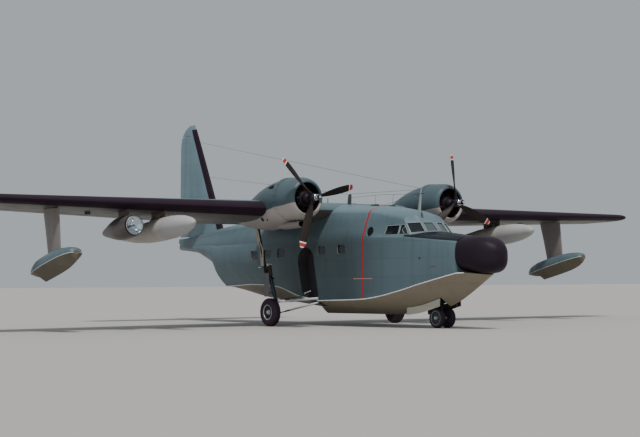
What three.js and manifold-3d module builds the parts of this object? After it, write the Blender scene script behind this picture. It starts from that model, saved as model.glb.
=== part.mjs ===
// Twin-engined amphibious flying boat, standing on its wheels.
// Millimetres. Shapes are laid out with x forward from the propellers' plane, y to port and z up from
// the ground. The whole group then moves forward, so that its origin is the middle of its length.
import * as THREE from 'three';
import { mergeVertices } from 'three/addons/utils/BufferGeometryUtils.js';
import Module from 'manifold-3d';

const wasm = await Module();
wasm.setup();

// Driving dimensions
const FORWARD = 4040;
const GAP = 0.4;
const MOVING_GAP = 8;
const END_GAP = 20;
const WING = {
  halfSpan: 14730, rootY: 3800, tipY: 14000, leadRoot: -1800, leadTip: -2420,
  chordRoot: 4050, chordTip: 2200, thickRoot: 0.165, thickTip: 0.125,
  planeZ: 3915, rise: 120, camber: 0.02, incidence: 0.0873,
};
const ENGINE_Y = 3030;
const ENGINE_Z = 4180;
const PROPELLER_RADIUS = 1676;
const MAIN_WHEEL = { x: -3000, y: 2690, radius: 475, width: 290 };
const NOSE_WHEEL = { x: 2740, y: 215, radius: 320, width: 170 };
const RUDDER_HINGE_X = -12720;
const ELEVATOR_HINGE_X = -12400;
const TAIL_Z = 4450;
const FLOAT = { x: -2840, y: 10660, z: 2065, noseUp: 0.213 };
const STORE_Y = { tank: 7160, searchlight: 8400 };
const HULL_WALL = 70;
const ROOF_WALL = 40;
const GLASS_THICK = 12;
const JACK_PAD = { x: -3400, y: 9300, z: 3640, radius: 90 };
const HOIST_PAD = { x: -3000, y: 900, z: 4250, foot: 4110, radius: 80 };

const PAINT = {
  seaGrey: { color: 0x4f666d, roughness: 0.45, metalness: 0.1 },
  underside: { color: 0x9c9182, roughness: 0.5, metalness: 0.1 },
  black: { color: 0x1a1620, roughness: 0.5, metalness: 0.1 },
  glass: { color: 0x20262c, roughness: 0.1, metalness: 0.0 },
  metal: { color: 0x8d8f90, roughness: 0.35, metalness: 0.8 },
  rubber: { color: 0x18161a, roughness: 0.85, metalness: 0.0 },
  cabin: { color: 0x5d6358, roughness: 0.8, metalness: 0.0 },
  lamp: { color: 0xb8c4cc, roughness: 0.1, metalness: 0.3 },
};

// Solids from triangle meshes

function signedVolume(points, faces) {
  let volume = 0;
  for (let k = 0; k < faces.length; k += 3) {
    const [a, b, c] = [points[faces[k]], points[faces[k + 1]], points[faces[k + 2]]];
    volume += a.dot(b.clone().cross(c)) / 6;
  }
  return volume;
}

function closedSolid(points, faces) {
  const kept = [];
  for (let k = 0; k < faces.length; k += 3) {
    const [a, b, c] = [faces[k], faces[k + 1], faces[k + 2]];
    if (a !== b && b !== c && c !== a) kept.push(a, b, c);
  }
  if (signedVolume(points, kept) < 0) kept.reverse();
  return new wasm.Manifold(new wasm.Mesh({
    numProp: 3,
    vertProperties: new Float32Array(points.flatMap((p) => [p.x, p.y, p.z])),
    triVerts: new Uint32Array(kept),
  }));
}

function solid(geometry) {
  const bare = geometry.clone();
  bare.deleteAttribute('normal');
  bare.deleteAttribute('uv');
  const merged = mergeVertices(bare, 1e-3);
  const place = merged.getAttribute('position');
  const pointAt = (_, k) => new THREE.Vector3().fromBufferAttribute(place, k);
  const points = Array.from({ length: place.count }, pointAt);
  return closedSolid(points, Array.from(merged.getIndex().array));
}

function geometryOf(manifold) {
  const mesh = manifold.getMesh();
  const geometry = new THREE.BufferGeometry();
  geometry.setAttribute('position', new THREE.BufferAttribute(new Float32Array(mesh.vertProperties), 3));
  geometry.setIndex(new THREE.BufferAttribute(new Uint32Array(mesh.triVerts), 1));
  return geometry;
}

// A skin over a row of rings with the same number of points, closed by a fan at each end. The quads of
// a ring's second half are split the other way, so that a ring with equal halves gives equal sides.
function loft(rings) {
  const count = rings[0].length;
  const points = rings.flat();
  const faces = [];
  for (let r = 0; r + 1 < rings.length; r += 1) {
    for (let k = 0; k < count; k += 1) {
      const a = r * count + k;
      const b = r * count + ((k + 1) % count);
      if (k < Math.floor(count / 2)) faces.push(a, b, b + count, a, b + count, a + count);
      else faces.push(a, b, a + count, b, b + count, a + count);
    }
  }
  for (const [start, flip] of [[0, true], [(rings.length - 1) * count, false]]) {
    const middle = new THREE.Vector3();
    for (let k = 0; k < count; k += 1) middle.addScaledVector(points[start + k], 1 / count);
    points.push(middle);
    for (let k = 0; k < count; k += 1) {
      const pair = [start + k, start + ((k + 1) % count)];
      faces.push(...(flip ? [pair[1], pair[0]] : pair), points.length - 1);
    }
  }
  return closedSolid(points, faces);
}

const spot = (x, y, z) => new THREE.Vector3(x, y, z);

function block([x0, x1], [y0, y1], [z0, z1]) {
  const box = new THREE.BoxGeometry(x1 - x0, y1 - y0, z1 - z0);
  return solid(box.translate((x0 + x1) / 2, (y0 + y1) / 2, (z0 + z1) / 2));
}

function rod(from, to, radius, sides = 12, endRadius = radius) {
  const along = to.clone().sub(from);
  const bar = new THREE.CylinderGeometry(endRadius, radius, along.length(), sides);
  bar.applyQuaternion(new THREE.Quaternion().setFromUnitVectors(spot(0, 1, 0), along.normalize()));
  const middle = from.clone().add(to).multiplyScalar(0.5);
  return solid(bar.translate(middle.x, middle.y, middle.z));
}

// A profile of [radius, distance along the axis] turned round x, y or z, about a centre
function turned(profile, axis, centre, sides) {
  const shape = new THREE.LatheGeometry(profile.map(([r, along]) => new THREE.Vector2(r, along)), sides);
  if (axis === 'x') shape.rotateZ(-Math.PI / 2);
  if (axis === 'z') shape.rotateX(Math.PI / 2);
  return solid(shape.translate(centre.x, centre.y, centre.z));
}

// The largest of the pieces that a cut leaves
const largest = (part) => part.decompose().sort((a, b) => b.volume() - a.volume())[0];

const join = (...parts) => parts.reduce((sum, part) => sum.add(part));
const lerp = THREE.MathUtils.lerp;

// Hull: rows from the bow foot to the tail tip. The sweep carries the keel aft of the chine.
const HULL_COLUMNS = ['x', 'sweep', 'keelZ', 'chineY', 'chineZ', 'sideY', 'shoulderY', 'shoulderZ',
  'baseY', 'baseZ', 'eaveY', 'eaveZ', 'crownZ'];
const HULL_ROWS = [
  [5000, 0, 1640, 40, 1660, 39, 38, 1662, 36, 1663, 30, 1664, 1665],
  [4750, 0, 1480, 380, 1694, 378, 375, 1697, 350, 1698, 300, 1699, 1700],
  [4430, 0, 1275, 590, 1722, 588, 584, 1731, 550, 1733, 450, 1734, 1735],
  [4160, 0, 1120, 670, 1710, 668, 664, 1745, 600, 1747, 500, 1749, 1750],
  [4150, 0, 1115, 672, 1712, 700, 655, 2640, 560, 2745, 380, 2815, 2850],
  [3700, 0, 890, 800, 1605, 832, 790, 2705, 690, 2805, 460, 2880, 2915],
  [3140, 0, 680, 930, 1470, 958, 920, 2775, 810, 2875, 500, 2930, 2995],
  [2750, 0, 600, 1000, 1380, 1020, 985, 2820, 870, 2920, 300, 2990, 3045],
  [2600, 0, 575, 1022, 1345, 1040, 1008, 2835, 890, 2930, 700, 3200, 3330],
  [2380, 0, 535, 1055, 1285, 1068, 1038, 2858, 930, 2935, 770, 3310, 3490],
  [2200, 0, 510, 1080, 1240, 1090, 1060, 2875, 955, 2940, 800, 3350, 3560],
  [2000, 0, 490, 1100, 1195, 1105, 1078, 2885, 975, 2945, 830, 3380, 3628],
  [1700, 0, 468, 1122, 1137, 1123, 1099, 2893, 995, 2950, 850, 3430, 3735],
  [1100, 0, 425, 1165, 1020, 1160, 1140, 2910, 1045, 2955, 885, 3540, 3850],
  [200, 0, 400, 1190, 915, 1185, 1170, 2920, 1120, 3080, 905, 3690, 3975],
  [-600, -100, 400, 1195, 885, 1190, 1180, 2930, 1140, 3130, 950, 3720, 4020],
  [-1700, -500, 400, 1200, 860, 1195, 1188, 2950, 1150, 3170, 980, 3760, 4110],
  [-2300, -1100, 400, 1200, 848, 1196, 1190, 2960, 1152, 3190, 985, 3790, 4160],
  [-2310, -1100, 600, 1180, 862, 1196, 1190, 2960, 1152, 3190, 985, 3790, 4160],
  [-3400, -600, 656, 1130, 985, 1190, 1185, 2970, 1150, 3200, 1000, 3680, 4200],
  [-5250, 0, 774, 960, 1350, 1150, 1130, 2980, 1095, 3190, 960, 3540, 4090],
  [-7050, 0, 945, 760, 1420, 1060, 1020, 2990, 980, 3180, 850, 3480, 3900],
  [-8850, 0, 1235, 450, 1372, 925, 860, 2990, 820, 3150, 700, 3400, 3730],
  [-9600, 0, 1350, 290, 1362, 850, 790, 2985, 745, 3135, 630, 3370, 3660],
  [-9900, 0, 1905, 330, 2010, 815, 760, 2980, 715, 3125, 600, 3355, 3635],
  [-10800, 0, 2350, 380, 2430, 690, 640, 2965, 600, 3090, 490, 3280, 3540],
  [-11700, 0, 2640, 330, 2700, 520, 490, 2940, 455, 3040, 350, 3280, 3430],
  [-12700, 0, 2765, 220, 2795, 330, 320, 2990, 280, 3120, 235, 3240, 3318],
  [-13640, 0, 2840, 45, 2880, 60, 55, 3060, 50, 3160, 40, 3260, 3300],
].map((row) => Object.fromEntries(HULL_COLUMNS.map((name, k) => [name, row[k]])));
const ROOF_ARC = [Math.PI / 6, Math.PI / 3];

function hullRing(row, inset) {
  const sideZ = lerp(row.chineZ, row.shoulderZ, 0.45);
  const half = [
    [row.chineY / 2, lerp(row.keelZ, row.chineZ, 0.42) + inset, 0.5],
    [row.chineY - inset, row.chineZ + inset * 0.4, 0],
    [row.sideY - inset, sideZ, 0],
    [row.shoulderY - inset, row.shoulderZ, 0],
    [row.baseY - inset, row.baseZ, 0],
    [row.eaveY - inset, row.eaveZ - inset * 0.5, 0],
    ...ROOF_ARC.map((angle) => [
      (row.eaveY - inset) * Math.cos(angle),
      lerp(row.eaveZ - inset * 0.5, row.crownZ - inset, Math.sin(angle)), 0]),
  ].map(([y, z, swept]) => spot(row.x + row.sweep * swept, Math.max(y, 1), z));
  const other = half.map((p) => spot(p.x, -p.y, p.z)).reverse();
  const keel = spot(row.x + row.sweep, 0, row.keelZ + inset);
  return [keel, ...half, spot(row.x, 0, row.crownZ - inset), ...other];
}

// The windscreen's flat panes lie on two planes a side, mirrored about the middle. Each plane is given by the
// x of its place at a height over the deck, and how far that falls back with y and with z.
const SCREEN_PLANES = {
  front: { x: 2620, z: 3130, y: 0, fallY: 0.3041, fallZ: 0.9423 },
  quarter: { x: 2540, z: 3060, y: 480, fallY: 0.7715, fallZ: 0.9877 },
};
const SCREEN_TOP = 4400;
const SCREEN_END = 2760;

function onScreen(plane, y, z) {
  const back = (Math.abs(y) - plane.y) * plane.fallY + (z - plane.z) * plane.fallZ;
  return spot(plane.x - back, y, z);
}

// Columns: the plane, y and z at the deck, y at the cutter's top, z of the deck at the cutter's front end
const FRONT_CUT = [[0, 3053, 0, 3050], [500, 3030, 370, 3012]];
const QUARTER_CUT = [[483, 3029.5, 350, 3012], [1050, 2927, 1050, 2860]];

function cutRing(plane, [y, z, topY, endZ], side) {
  return [onScreen(plane, side * y, z), onScreen(plane, side * topY, SCREEN_TOP),
    spot(SCREEN_END, side * topY, SCREEN_TOP), spot(SCREEN_END, side * y, endZ)];
}

// What the panes' planes take off the rounded skin above the deck. The cutter follows a skin that is set in.
const INSET_BACK = 0.464;

function screenCut(inset) {
  const { front, quarter } = SCREEN_PLANES;
  const [middle, edge] = FRONT_CUT;
  const cuts = [loft([cutRing(front, edge, -1), cutRing(front, middle, 1), cutRing(front, edge, 1)]),
    ...[-1, 1].map((side) => loft(QUARTER_CUT.map((row) => cutRing(quarter, row, side))))];
  return join(...cuts).translate(-INSET_BACK * inset, 0, -inset);
}

const hullLoft = (inset) => loft(HULL_ROWS.map((row) => hullRing(row, inset))).subtract(screenCut(inset));

// Aerofoils: a ring round the section, from the trailing edge over the top and back underneath
const FOIL_STEPS = 9;
const foilShare = (_, k) => (1 - Math.cos(Math.PI * k / FOIL_STEPS)) / 2;
const FOIL_SHARES = Array.from({ length: FOIL_STEPS + 1 }, foilShare);
const halfThickness = (s) => 5 * (0.2969 * Math.sqrt(s) - 0.126 * s - 0.3516 * s ** 2 + 0.2843 * s ** 3
  - 0.1015 * s ** 4);

// place(along, across) puts a point of the section: along is behind the leading edge, across is upwards
function foilRing(chord, thickness, camber, grow, place) {
  const point = (s, side) => place(
    s * chord + (s - 0.5) * 2 * grow,
    side * (halfThickness(s) * thickness * chord + grow) + camber * chord * 4 * s * (1 - s));
  const top = [...FOIL_SHARES].reverse().map((s) => point(s, s === 0 ? 0 : 1));
  const bottom = FOIL_SHARES.slice(1).map((s) => point(s, -1));
  return [...top, ...bottom];
}

// Wing: one function gives the section at any distance from the centre line
function wingAt(y) {
  const share = Math.max(0, (Math.min(y, WING.tipY) - WING.rootY) / (WING.tipY - WING.rootY));
  const out = Math.max(0, (y - WING.tipY) / (WING.halfSpan - WING.tipY));
  const round = Math.sqrt(1 - (0.97 * out) ** 2);
  const chord = lerp(WING.chordRoot, WING.chordTip, share);
  return {
    y, chord: chord * round, lead: lerp(WING.leadRoot, WING.leadTip, share) - chord * (1 - round) * 0.42,
    thick: lerp(WING.thickRoot, WING.thickTip, share), z: WING.planeZ + WING.rise * share,
  };
}

function wingRing(section, grow = 0) {
  return foilRing(section.chord, section.thick, WING.camber, grow,
    (along, across) => spot(section.lead - along, section.y, section.z - along * WING.incidence + across));
}

function wingLoft(ys, grow = 0) {
  return loft(ys.map((y) => wingRing({ ...wingAt(Math.abs(y)), y }, grow)));
}

const wingUnderZ = (y, x) => {
  const s = wingAt(y);
  const share = (s.lead - x) / s.chord;
  return s.z - (s.lead - x) * WING.incidence - halfThickness(share) * s.thick * s.chord
    + WING.camber * s.chord * 4 * share * (1 - share);
};

// A control surface is cut from its panel behind a straight hinge line and given a round nose.
// The hinge is a list of places along that line with the panel's half thickness at each.
function hingePoint(y, share) {
  const s = wingAt(y);
  const along = share * s.chord;
  const camber = WING.camber * s.chord * 4 * share * (1 - share);
  return {
    at: spot(s.lead - along, y, s.z - along * WING.incidence + camber),
    radius: halfThickness(share) * s.thick * s.chord - 2,
  };
}

function rollers(hinge, grow, endGap) {
  const rods = [];
  for (let k = 0; k + 1 < hinge.length; k += 1) {
    const [a, b] = [hinge[k], hinge[k + 1]];
    const share = endGap / a.at.distanceTo(b.at);
    const from = a.at.clone().lerp(b.at, k === 0 ? share : 0);
    const to = b.at.clone().lerp(a.at, k + 2 === hinge.length ? share : 0);
    rods.push(rod(from, to, a.radius + grow, 16, b.radius + grow));
  }
  return join(...rods);
}

// The fixed panel's lower lip is cut back ahead of the hinge by this share of the depth under it
const LIP_SLOPE = 0.5;
const COVE_GAP = 16;

function splitSurface(panel, hinge, behind, [from, to]) {
  const surface = panel.intersect(behind(from + END_GAP, to - END_GAP)).add(rollers(hinge, 0, END_GAP));
  const fixed = panel.subtract(behind(from, to, LIP_SLOPE)).subtract(rollers(hinge, COVE_GAP, 0));
  return { surface, fixed };
}

// The space behind the hinge line, as a slab with its front on that line
function behindWingHinge(share) {
  const [low, high, back] = [3200, 4800, 2500];
  return (y0, y1, lip = 0) => {
    const ends = [y0, y1].map((y) => hingePoint(y, share).at);
    return loft(ends.map((p) => [spot(p.x + lip * (p.z - low), p.y, low), spot(p.x - back, p.y, low),
      spot(p.x - back, p.y, high), spot(p.x, p.y, high), p]));
  };
}

const FLAP = { from: 3980, to: 8740, hinge: 0.76 };
const AILERON = { from: 8800, to: 13900, hinge: 0.76 };

const PANEL_YS = [WING.rootY + GAP, FLAP.from, AILERON.from, WING.tipY, 14350, 14580, 14690, WING.halfSpan];

function wingPanel() {
  let panel = wingLoft(PANEL_YS);
  const pieces = {};
  for (const [name, span] of Object.entries({ flap: FLAP, aileron: AILERON })) {
    const hinge = [span.from, span.to].map((y) => hingePoint(y, span.hinge));
    const cut = splitSurface(panel, hinge, behindWingHinge(span.hinge), [span.from, span.to]);
    panel = cut.fixed;
    pieces[name] = cut.surface;
  }
  const { x, y, z } = JACK_PAD;
  const pad = rod(spot(x, y, wingUnderZ(y, x) + 60), spot(x, y, z), JACK_PAD.radius, 16);
  return { panel: panel.add(pad), ...pieces };
}

// Fin and rudder: level sections
const FIN_COLUMNS = ['z', 'lead', 'trail', 'half'];
const FIN_ROWS = [
  [3000, -10000, -13600, 165],
  [4780, -10870, -13590, 145],
  [6320, -11610, -13555, 105],
  [7000, -11945, -13535, 84],
  [7360, -12125, -13460, 72],
  [7600, -12245, -13270, 60],
  [7760, -12325, -13060, 46],
  [7870, -12420, -12800, 14],
].map((row) => Object.fromEntries(FIN_COLUMNS.map((name, k) => [name, row[k]])));

const finLoft = (grow = 0) => loft(FIN_ROWS.map((row) => {
  const chord = row.lead - row.trail;
  return foilRing(chord, 2 * row.half / chord, 0, grow,
    (along, across) => spot(row.lead - along, across, row.z));
}));

const RUDDER = { bottom: 3330, top: 7450 };

function finHalfAt(z, x) {
  const k = FIN_ROWS.findIndex((row) => row.z > z);
  const [low, high] = [FIN_ROWS[k - 1], FIN_ROWS[k]];
  const at = (name) => lerp(low[name], high[name], (z - low.z) / (high.z - low.z));
  return halfThickness((at('lead') - x) / (at('lead') - at('trail'))) * 2 * at('half');
}

function finAndRudder(hullGrown) {
  const whole = finLoft().subtract(hullGrown);
  const behind = (z0, z1) => block([-14000, RUDDER_HINGE_X], [-400, 400], [z0, z1]);
  const hinge = [RUDDER.bottom, 4780, 6320, 7000, RUDDER.top].map((z) => (
    { at: spot(RUDDER_HINGE_X, 0, z), radius: finHalfAt(z, RUDDER_HINGE_X) }));
  const cut = splitSurface(whole, hinge, behind, [RUDDER.bottom, RUDDER.top]);
  // what is left of the fin behind the hinge, under the rudder, goes
  const stub = block([-14000, RUDDER_HINGE_X - 130], [-400, 400], [2900, RUDDER.bottom + 1]);
  return { fin: cut.fixed.subtract(stub), rudder: cut.surface };
}

// Tailplane: columns y, leading edge, chord, height as a share of the chord
const TAIL_ROWS = [[60, -10980, 2330, 0.12], [2500, -11300, 1880, 0.11], [4300, -11540, 1520, 0.1],
  [4600, -11640, 1330, 0.09], [4725, -11900, 780, 0.07]];
const ELEVATOR = { from: 520, to: 4250 };

function tailHalf(finGrown) {
  const whole = loft(TAIL_ROWS.map(([y, lead, chord, thick]) => foilRing(chord, thick, 0, 0,
    (along, across) => spot(lead - along, y, TAIL_Z + across))));
  const hinge = [[ELEVATOR.from, 98], [2500, 80], [ELEVATOR.to, 61]].map(([y, radius]) => (
    { at: spot(ELEVATOR_HINGE_X, y, TAIL_Z), radius }));
  const behind = (y0, y1) => block([-14000, ELEVATOR_HINGE_X], [y0, y1], [4000, 4900]);
  const cut = splitSurface(whole, hinge, behind, [ELEVATOR.from, ELEVATOR.to]);
  // the rudder swings over the strip beside the fin
  const rudderRoom = block([-14000, ELEVATOR_HINGE_X - 60], [0, ELEVATOR.from], [4000, 4900]);
  return { tail: cut.fixed.subtract(rudderRoom).subtract(finGrown), elevator: cut.surface };
}

// Nacelle: columns x, half width, height of its middle, rise above and fall below it
const NACELLE_ROWS = [[-1180, 690, 4180, 690, 715], [-1700, 650, 4180, 645, 900],
  [-2140, 610, 4150, 590, 935], [-2600, 550, 4080, 520, 855], [-3200, 470, 3960, 370, 670],
  [-4000, 320, 3850, 250, 430], [-4700, 120, 3780, 130, 160]];
// The oil cooler's scoop hangs under the cowl and ends in the nacelle. Columns: x, half width, height of
// its middle, half height
const SCOOP_ROWS = [[-600, 175, 3360, 105], [-750, 190, 3350, 115], [-1100, 210, 3345, 120],
  [-1500, 210, 3340, 130], [-1900, 150, 3330, 80]];
// Cowl: columns radius, x, outside from the rear to the lip and back inside
const COWL_ROWS = [[636, -1165], [705, -1165], [704, -900], [690, -640], [672, -500], [640, -390],
  [598, -318], [552, -282], [520, -280], [503, -300], [500, -345], [508, -420], [552, -560],
  [604, -700], [628, -900], [636, -1165]];

function ovalRing(x, y, z, half, up, down, sides = 24) {
  return Array.from({ length: sides }, (_, k) => {
    const turn = 2 * Math.PI * k / sides;
    const lift = Math.sin(turn);
    return spot(x, y + half * Math.cos(turn), z + lift * (lift > 0 ? up : down));
  });
}

function nacelle(wingGrown) {
  const body = loft(NACELLE_ROWS.map(([x, half, z, up, down]) => ovalRing(x, ENGINE_Y, z, half, up, down)));
  const scoop = loft(SCOOP_ROWS.map(([x, half, z, rise]) => ovalRing(x, ENGINE_Y, z, half, rise, rise, 12)));
  return largest(body.add(scoop).subtract(wingGrown).subtract(mainStrut(STRUT.radius + 1, 3)));
}

const cowling = () => turned(COWL_ROWS, 'x', spot(0, ENGINE_Y, ENGINE_Z), 28);

function engine() {
  const centre = spot(0, ENGINE_Y, ENGINE_Z);
  const crankcase = turned([[0, -1160], [610, -1160], [610, -1080], [300, -1080], [300, -520], [190, -400],
    [120, -190], [0, -190]], 'x', centre, 14);
  const cylinders = Array.from({ length: 9 }, (_, k) => {
    const turn = 2 * Math.PI * k / 9;
    const out = (r) => spot(-760, ENGINE_Y + r * Math.sin(turn), ENGINE_Z + r * Math.cos(turn));
    return rod(out(250), out(570), 92, 8);
  });
  return join(crankcase, ...cylinders);
}

// Propeller blade: columns radius, chord, thickness, twist from the disc in radians
const BLADE_ROWS = [[150, 120, 110, 1.2], [330, 170, 80, 1.05], [600, 250, 50, 0.8], [1000, 275, 32, 0.55],
  [1400, 245, 22, 0.42], [1600, 190, 16, 0.36], [PROPELLER_RADIUS, 90, 9, 0.34]];

function blade(y, turn) {
  const outward = spot(0, Math.sin(turn), Math.cos(turn));
  const sideways = spot(0, Math.cos(turn), -Math.sin(turn));
  const rings = BLADE_ROWS.map(([radius, chord, thick, twist]) => Array.from({ length: 10 }, (_, k) => {
    const angle = 2 * Math.PI * k / 10;
    const [along, across] = [Math.cos(angle) * chord / 2, Math.sin(angle) * thick / 2];
    const fore = across * Math.cos(twist) - along * Math.sin(twist);
    const aside = along * Math.cos(twist) + across * Math.sin(twist);
    return spot(fore, y, ENGINE_Z).addScaledVector(outward, radius).addScaledVector(sideways, aside);
  }));
  return loft(rings);
}

const HUB_PROFILE = [[0, -175], [110, -175], [150, -110], [170, 0], [150, 110], [95, 150], [95, 330],
  [70, 390], [0, 410]];

// Both propellers turn the same way, so the right one isn't a mirror of the left
function propeller(y, firstTurn) {
  const hub = turned(HUB_PROFILE, 'x', spot(0, y, ENGINE_Z), 12);
  return join(hub, ...[0, 1, 2].map((k) => blade(y, firstTurn + k * 2 * Math.PI / 3)));
}

// Float: columns x, keel, chine half width, chine height, deck height, in the float's own level frame
const FLOAT_ROWS = [[1500, -60, 110, 15, 90], [1440, -190, 200, 25, 170], [1250, -270, 300, 20, 240],
  [750, -350, 410, 0, 320], [0, -375, 440, -20, 345], [-740, -385, 410, -45, 320],
  [-750, -250, 400, -45, 320], [-1200, -140, 280, -30, 230], [-1500, -30, 60, -5, 70]];

function floatLoft(grow = 0) {
  return solid(geometryOf(loft(FLOAT_ROWS.map(([x, keel, chine, chineZ, deck]) => {
    const [keelZ, chineY, deckZ] = [keel - grow, chine + grow, deck + grow];
    const half = [[chineY * 0.5, lerp(keelZ, chineZ, 0.45)], [chineY, chineZ],
      [chineY * 0.93, lerp(chineZ, deckZ, 0.45)], [chineY * 0.6, lerp(chineZ, deckZ, 0.88)]];
    return [spot(x, 0, keelZ), ...half.map(([y, z]) => spot(x, y, z)), spot(x, 0, deckZ),
      ...half.map(([y, z]) => spot(x, -y, z)).reverse()];
  }))).rotateY(-FLOAT.noseUp).translate(FLOAT.x, FLOAT.y, FLOAT.z));
}

// A strut of lens section between two levels: columns z, front x, rear x, half thickness
function strut(rows, y, sides = 12) {
  return loft(rows.map(([z, front, rear, half]) => Array.from({ length: sides }, (_, k) => {
    const turn = 2 * Math.PI * k / sides;
    return spot((front + rear) / 2 + Math.cos(turn) * (front - rear) / 2, y + Math.sin(turn) * half, z);
  })));
}

// Drop tank: share of the length from the nose, share of the full radius
const TANK = { nose: -455, length: 4945, radius: 365, noseZ: 3330, noseUp: 0.08 };
const TANK_PROFILE = [[0, 0], [0.012, 0.25], [0.05, 0.52], [0.13, 0.8], [0.26, 0.97], [0.42, 1], [0.58, 0.93],
  [0.75, 0.68], [0.9, 0.32], [1, 0]];

function dropTank(wingGrown) {
  const profile = TANK_PROFILE.map(([share, r]) => [r * TANK.radius, -share * TANK.length]);
  const body = solid(geometryOf(turned(profile, 'x', spot(0, 0, 0), 24)).rotateY(-TANK.noseUp)
    .translate(TANK.nose, STORE_Y.tank, TANK.noseZ));
  const pylon = strut([[3200, -2250, -3150, 55], [3850, -2250, -3150, 55]], STORE_Y.tank);
  return body.add(largest(pylon.subtract(wingGrown)));
}

// Searchlight pod: profiles of [radius, distance ahead of the lens's rim]
const LAMP = { x: -1990, z: 3266, noseUp: 0.096 };
const POD_PROFILE = [[0, -2090], [110, -1950], [190, -1650], [270, -1350], [330, -1085], [368, -800],
  [365, -400], [335, -100], [310, 0], [285, 0], [285, -60], [0, -60]];
const LENS_PROFILE = [[0, -59], [280, -59], [280, 0], [250, 90], [150, 165], [0, 190]];

const lampPart = (profile) => solid(geometryOf(turned(profile, 'x', spot(0, 0, 0), 24)).rotateY(-LAMP.noseUp)
  .translate(LAMP.x, STORE_Y.searchlight, LAMP.z));

function searchlightPod(wingGrown) {
  const pylon = strut([[3350, -2350, -3050, 45], [3850, -2350, -3050, 45]], STORE_Y.searchlight);
  return lampPart(POD_PROFILE).add(largest(pylon.subtract(wingGrown)));
}

// A wheel is turned round its axle in flats, and stands on one of them rather than on a corner
const wheelPart = (profile, wheel, sides) => solid(geometryOf(turned(profile, 'y', spot(0, 0, 0), sides))
  .rotateY(Math.PI / sides).translate(wheel.x, wheel.y, wheel.radius));

// Tyre with a flat crown and round shoulders. Its flats touch the ground, so its corners reach further out.
function tyre(wheel, bore, sides) {
  const [r, w] = [wheel.radius / Math.cos(Math.PI / sides), wheel.width / 2];
  const profile = [[bore, -w * 0.8], [r * 0.82, -w], [r * 0.95, -w * 0.82], [r, -w * 0.4], [r, w * 0.4],
    [r * 0.95, w * 0.82], [r * 0.82, w], [bore, w * 0.8], [bore, -w * 0.8]];
  return wheelPart(profile, wheel, sides);
}

function rim(wheel, bore, sides) {
  const w = wheel.width / 2;
  const inner = AXLE_RADIUS + 7;
  const profile = [[inner, -w * 0.7], [bore * 0.42, -w * 0.7], [bore * 0.75, -w * 0.4],
    [bore - GAP, -w * 0.78], [bore - GAP, w * 0.78], [bore * 0.75, w * 0.4], [bore * 0.42, w * 0.7], [inner, w * 0.7],
    [inner, -w * 0.7]];
  return wheelPart(profile, wheel, sides);
}

const AXLE_RADIUS = 40;
const WELL_FRONT = -2300;
const MAIN_BORE = 250;
const NOSE_BORE = 225;

// Main gear: a long shock strut under the nacelle and a sliding tube down to the axle, a fairing strip and a
// leg door on the outer side, and two braces from the hull's chine to the axle block.
const STRUT = { foot: spot(-3300, 2610, 1750), head: spot(-3415, 2890, 3490), radius: 95 };
const BRACE = { hullX: -2360, hullY: 1090, foot: [[-2420, WELL_FRONT - GAP], [1000, 1130], [740, 950]] };
// Columns: height at the hull, height at the wheel, radius
const BRACE_ROWS = [[930, 815, 48], [800, 500, 34]];
// Columns: height, x, y. The strip's section is half a width each way, and reaches inwards to the strut.
const STRIP_ROWS = [[3300, -3458, 2965], [2855, -3440, 2866], [2584, -3420, 2799], [2039, -3380, 2767]];
const STRIP = { half: 75, inward: 25, outward: 15 };
const LEG_DOOR = [[-3325, -3055], [2692, 2718], [1000, 1800]];

function mainStrut(radius, beyond = 0) {
  return rod(STRUT.foot, STRUT.head.clone().add(spot(0, 0, beyond)), radius, 14);
}

function mainGear() {
  const w = MAIN_WHEEL;
  const axle = rod(spot(w.x, w.y - 330, w.radius), spot(w.x, w.y + 130, w.radius), AXLE_RADIUS, 12);
  const axleBlock = block([w.x - 110, w.x + 60], [w.y - 340, w.y - 175], [w.radius - 90, w.radius + 130]);
  const slider = rod(spot(w.x + 40, w.y - 290, w.radius + 60), spot(-3200, 2600, 1840), 55, 12);
  const knee = rod(spot(-3160, 2640, 1980), spot(-3320, 2625, 1900), 50, 8);
  const { half, inward, outward } = STRIP;
  const strip = loft(STRIP_ROWS.map(([z, x, y]) => [[-half, -inward], [half, -inward], [half, outward],
    [-half, outward]].map(([dx, dy]) => spot(x + dx, y + dy, z))));
  const braces = BRACE_ROWS.map(([hullZ, wheelZ, radius]) => rod(spot(BRACE.hullX, BRACE.hullY, hullZ),
    spot(w.x + 20, w.y - 265, wheelZ), radius, 8));
  return join(axle, axleBlock, slider, knee, mainStrut(STRUT.radius), strip, block(...LEG_DOOR),
    block(...BRACE.foot), ...braces);
}

// Nose gear: fixed oleo leg with its drag strut, and the steered fork below it
const NOSE_LEG = { x: 2700, top: 1500, collar: 800 };

function noseLeg(hullGrown) {
  const leg = rod(spot(NOSE_LEG.x, 0, NOSE_LEG.collar), spot(NOSE_LEG.x, 0, NOSE_LEG.top + 300), 70, 16);
  const drag = rod(spot(NOSE_LEG.x + 30, 0, 900), spot(3250, 0, 1500), 40, 10);
  return join(leg, drag).subtract(hullGrown);
}

function noseFork() {
  const w = NOSE_WHEEL;
  const piston = rod(spot(NOSE_LEG.x, 0, w.radius), spot(NOSE_LEG.x, 0, NOSE_LEG.collar - 6), 55, 16);
  const collar = rod(spot(NOSE_LEG.x, 0, 640), spot(NOSE_LEG.x, 0, NOSE_LEG.collar - 6), 85, 16);
  const axle = rod(spot(w.x, -w.y - w.width / 2 - 20, w.radius), spot(w.x, w.y + w.width / 2 + 20, w.radius),
    AXLE_RADIUS, 16);
  const head = block([NOSE_LEG.x - 60, w.x + 60], [-75, 75], [w.radius - 60, w.radius + 60]);
  return join(piston, collar, axle, head);
}

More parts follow.
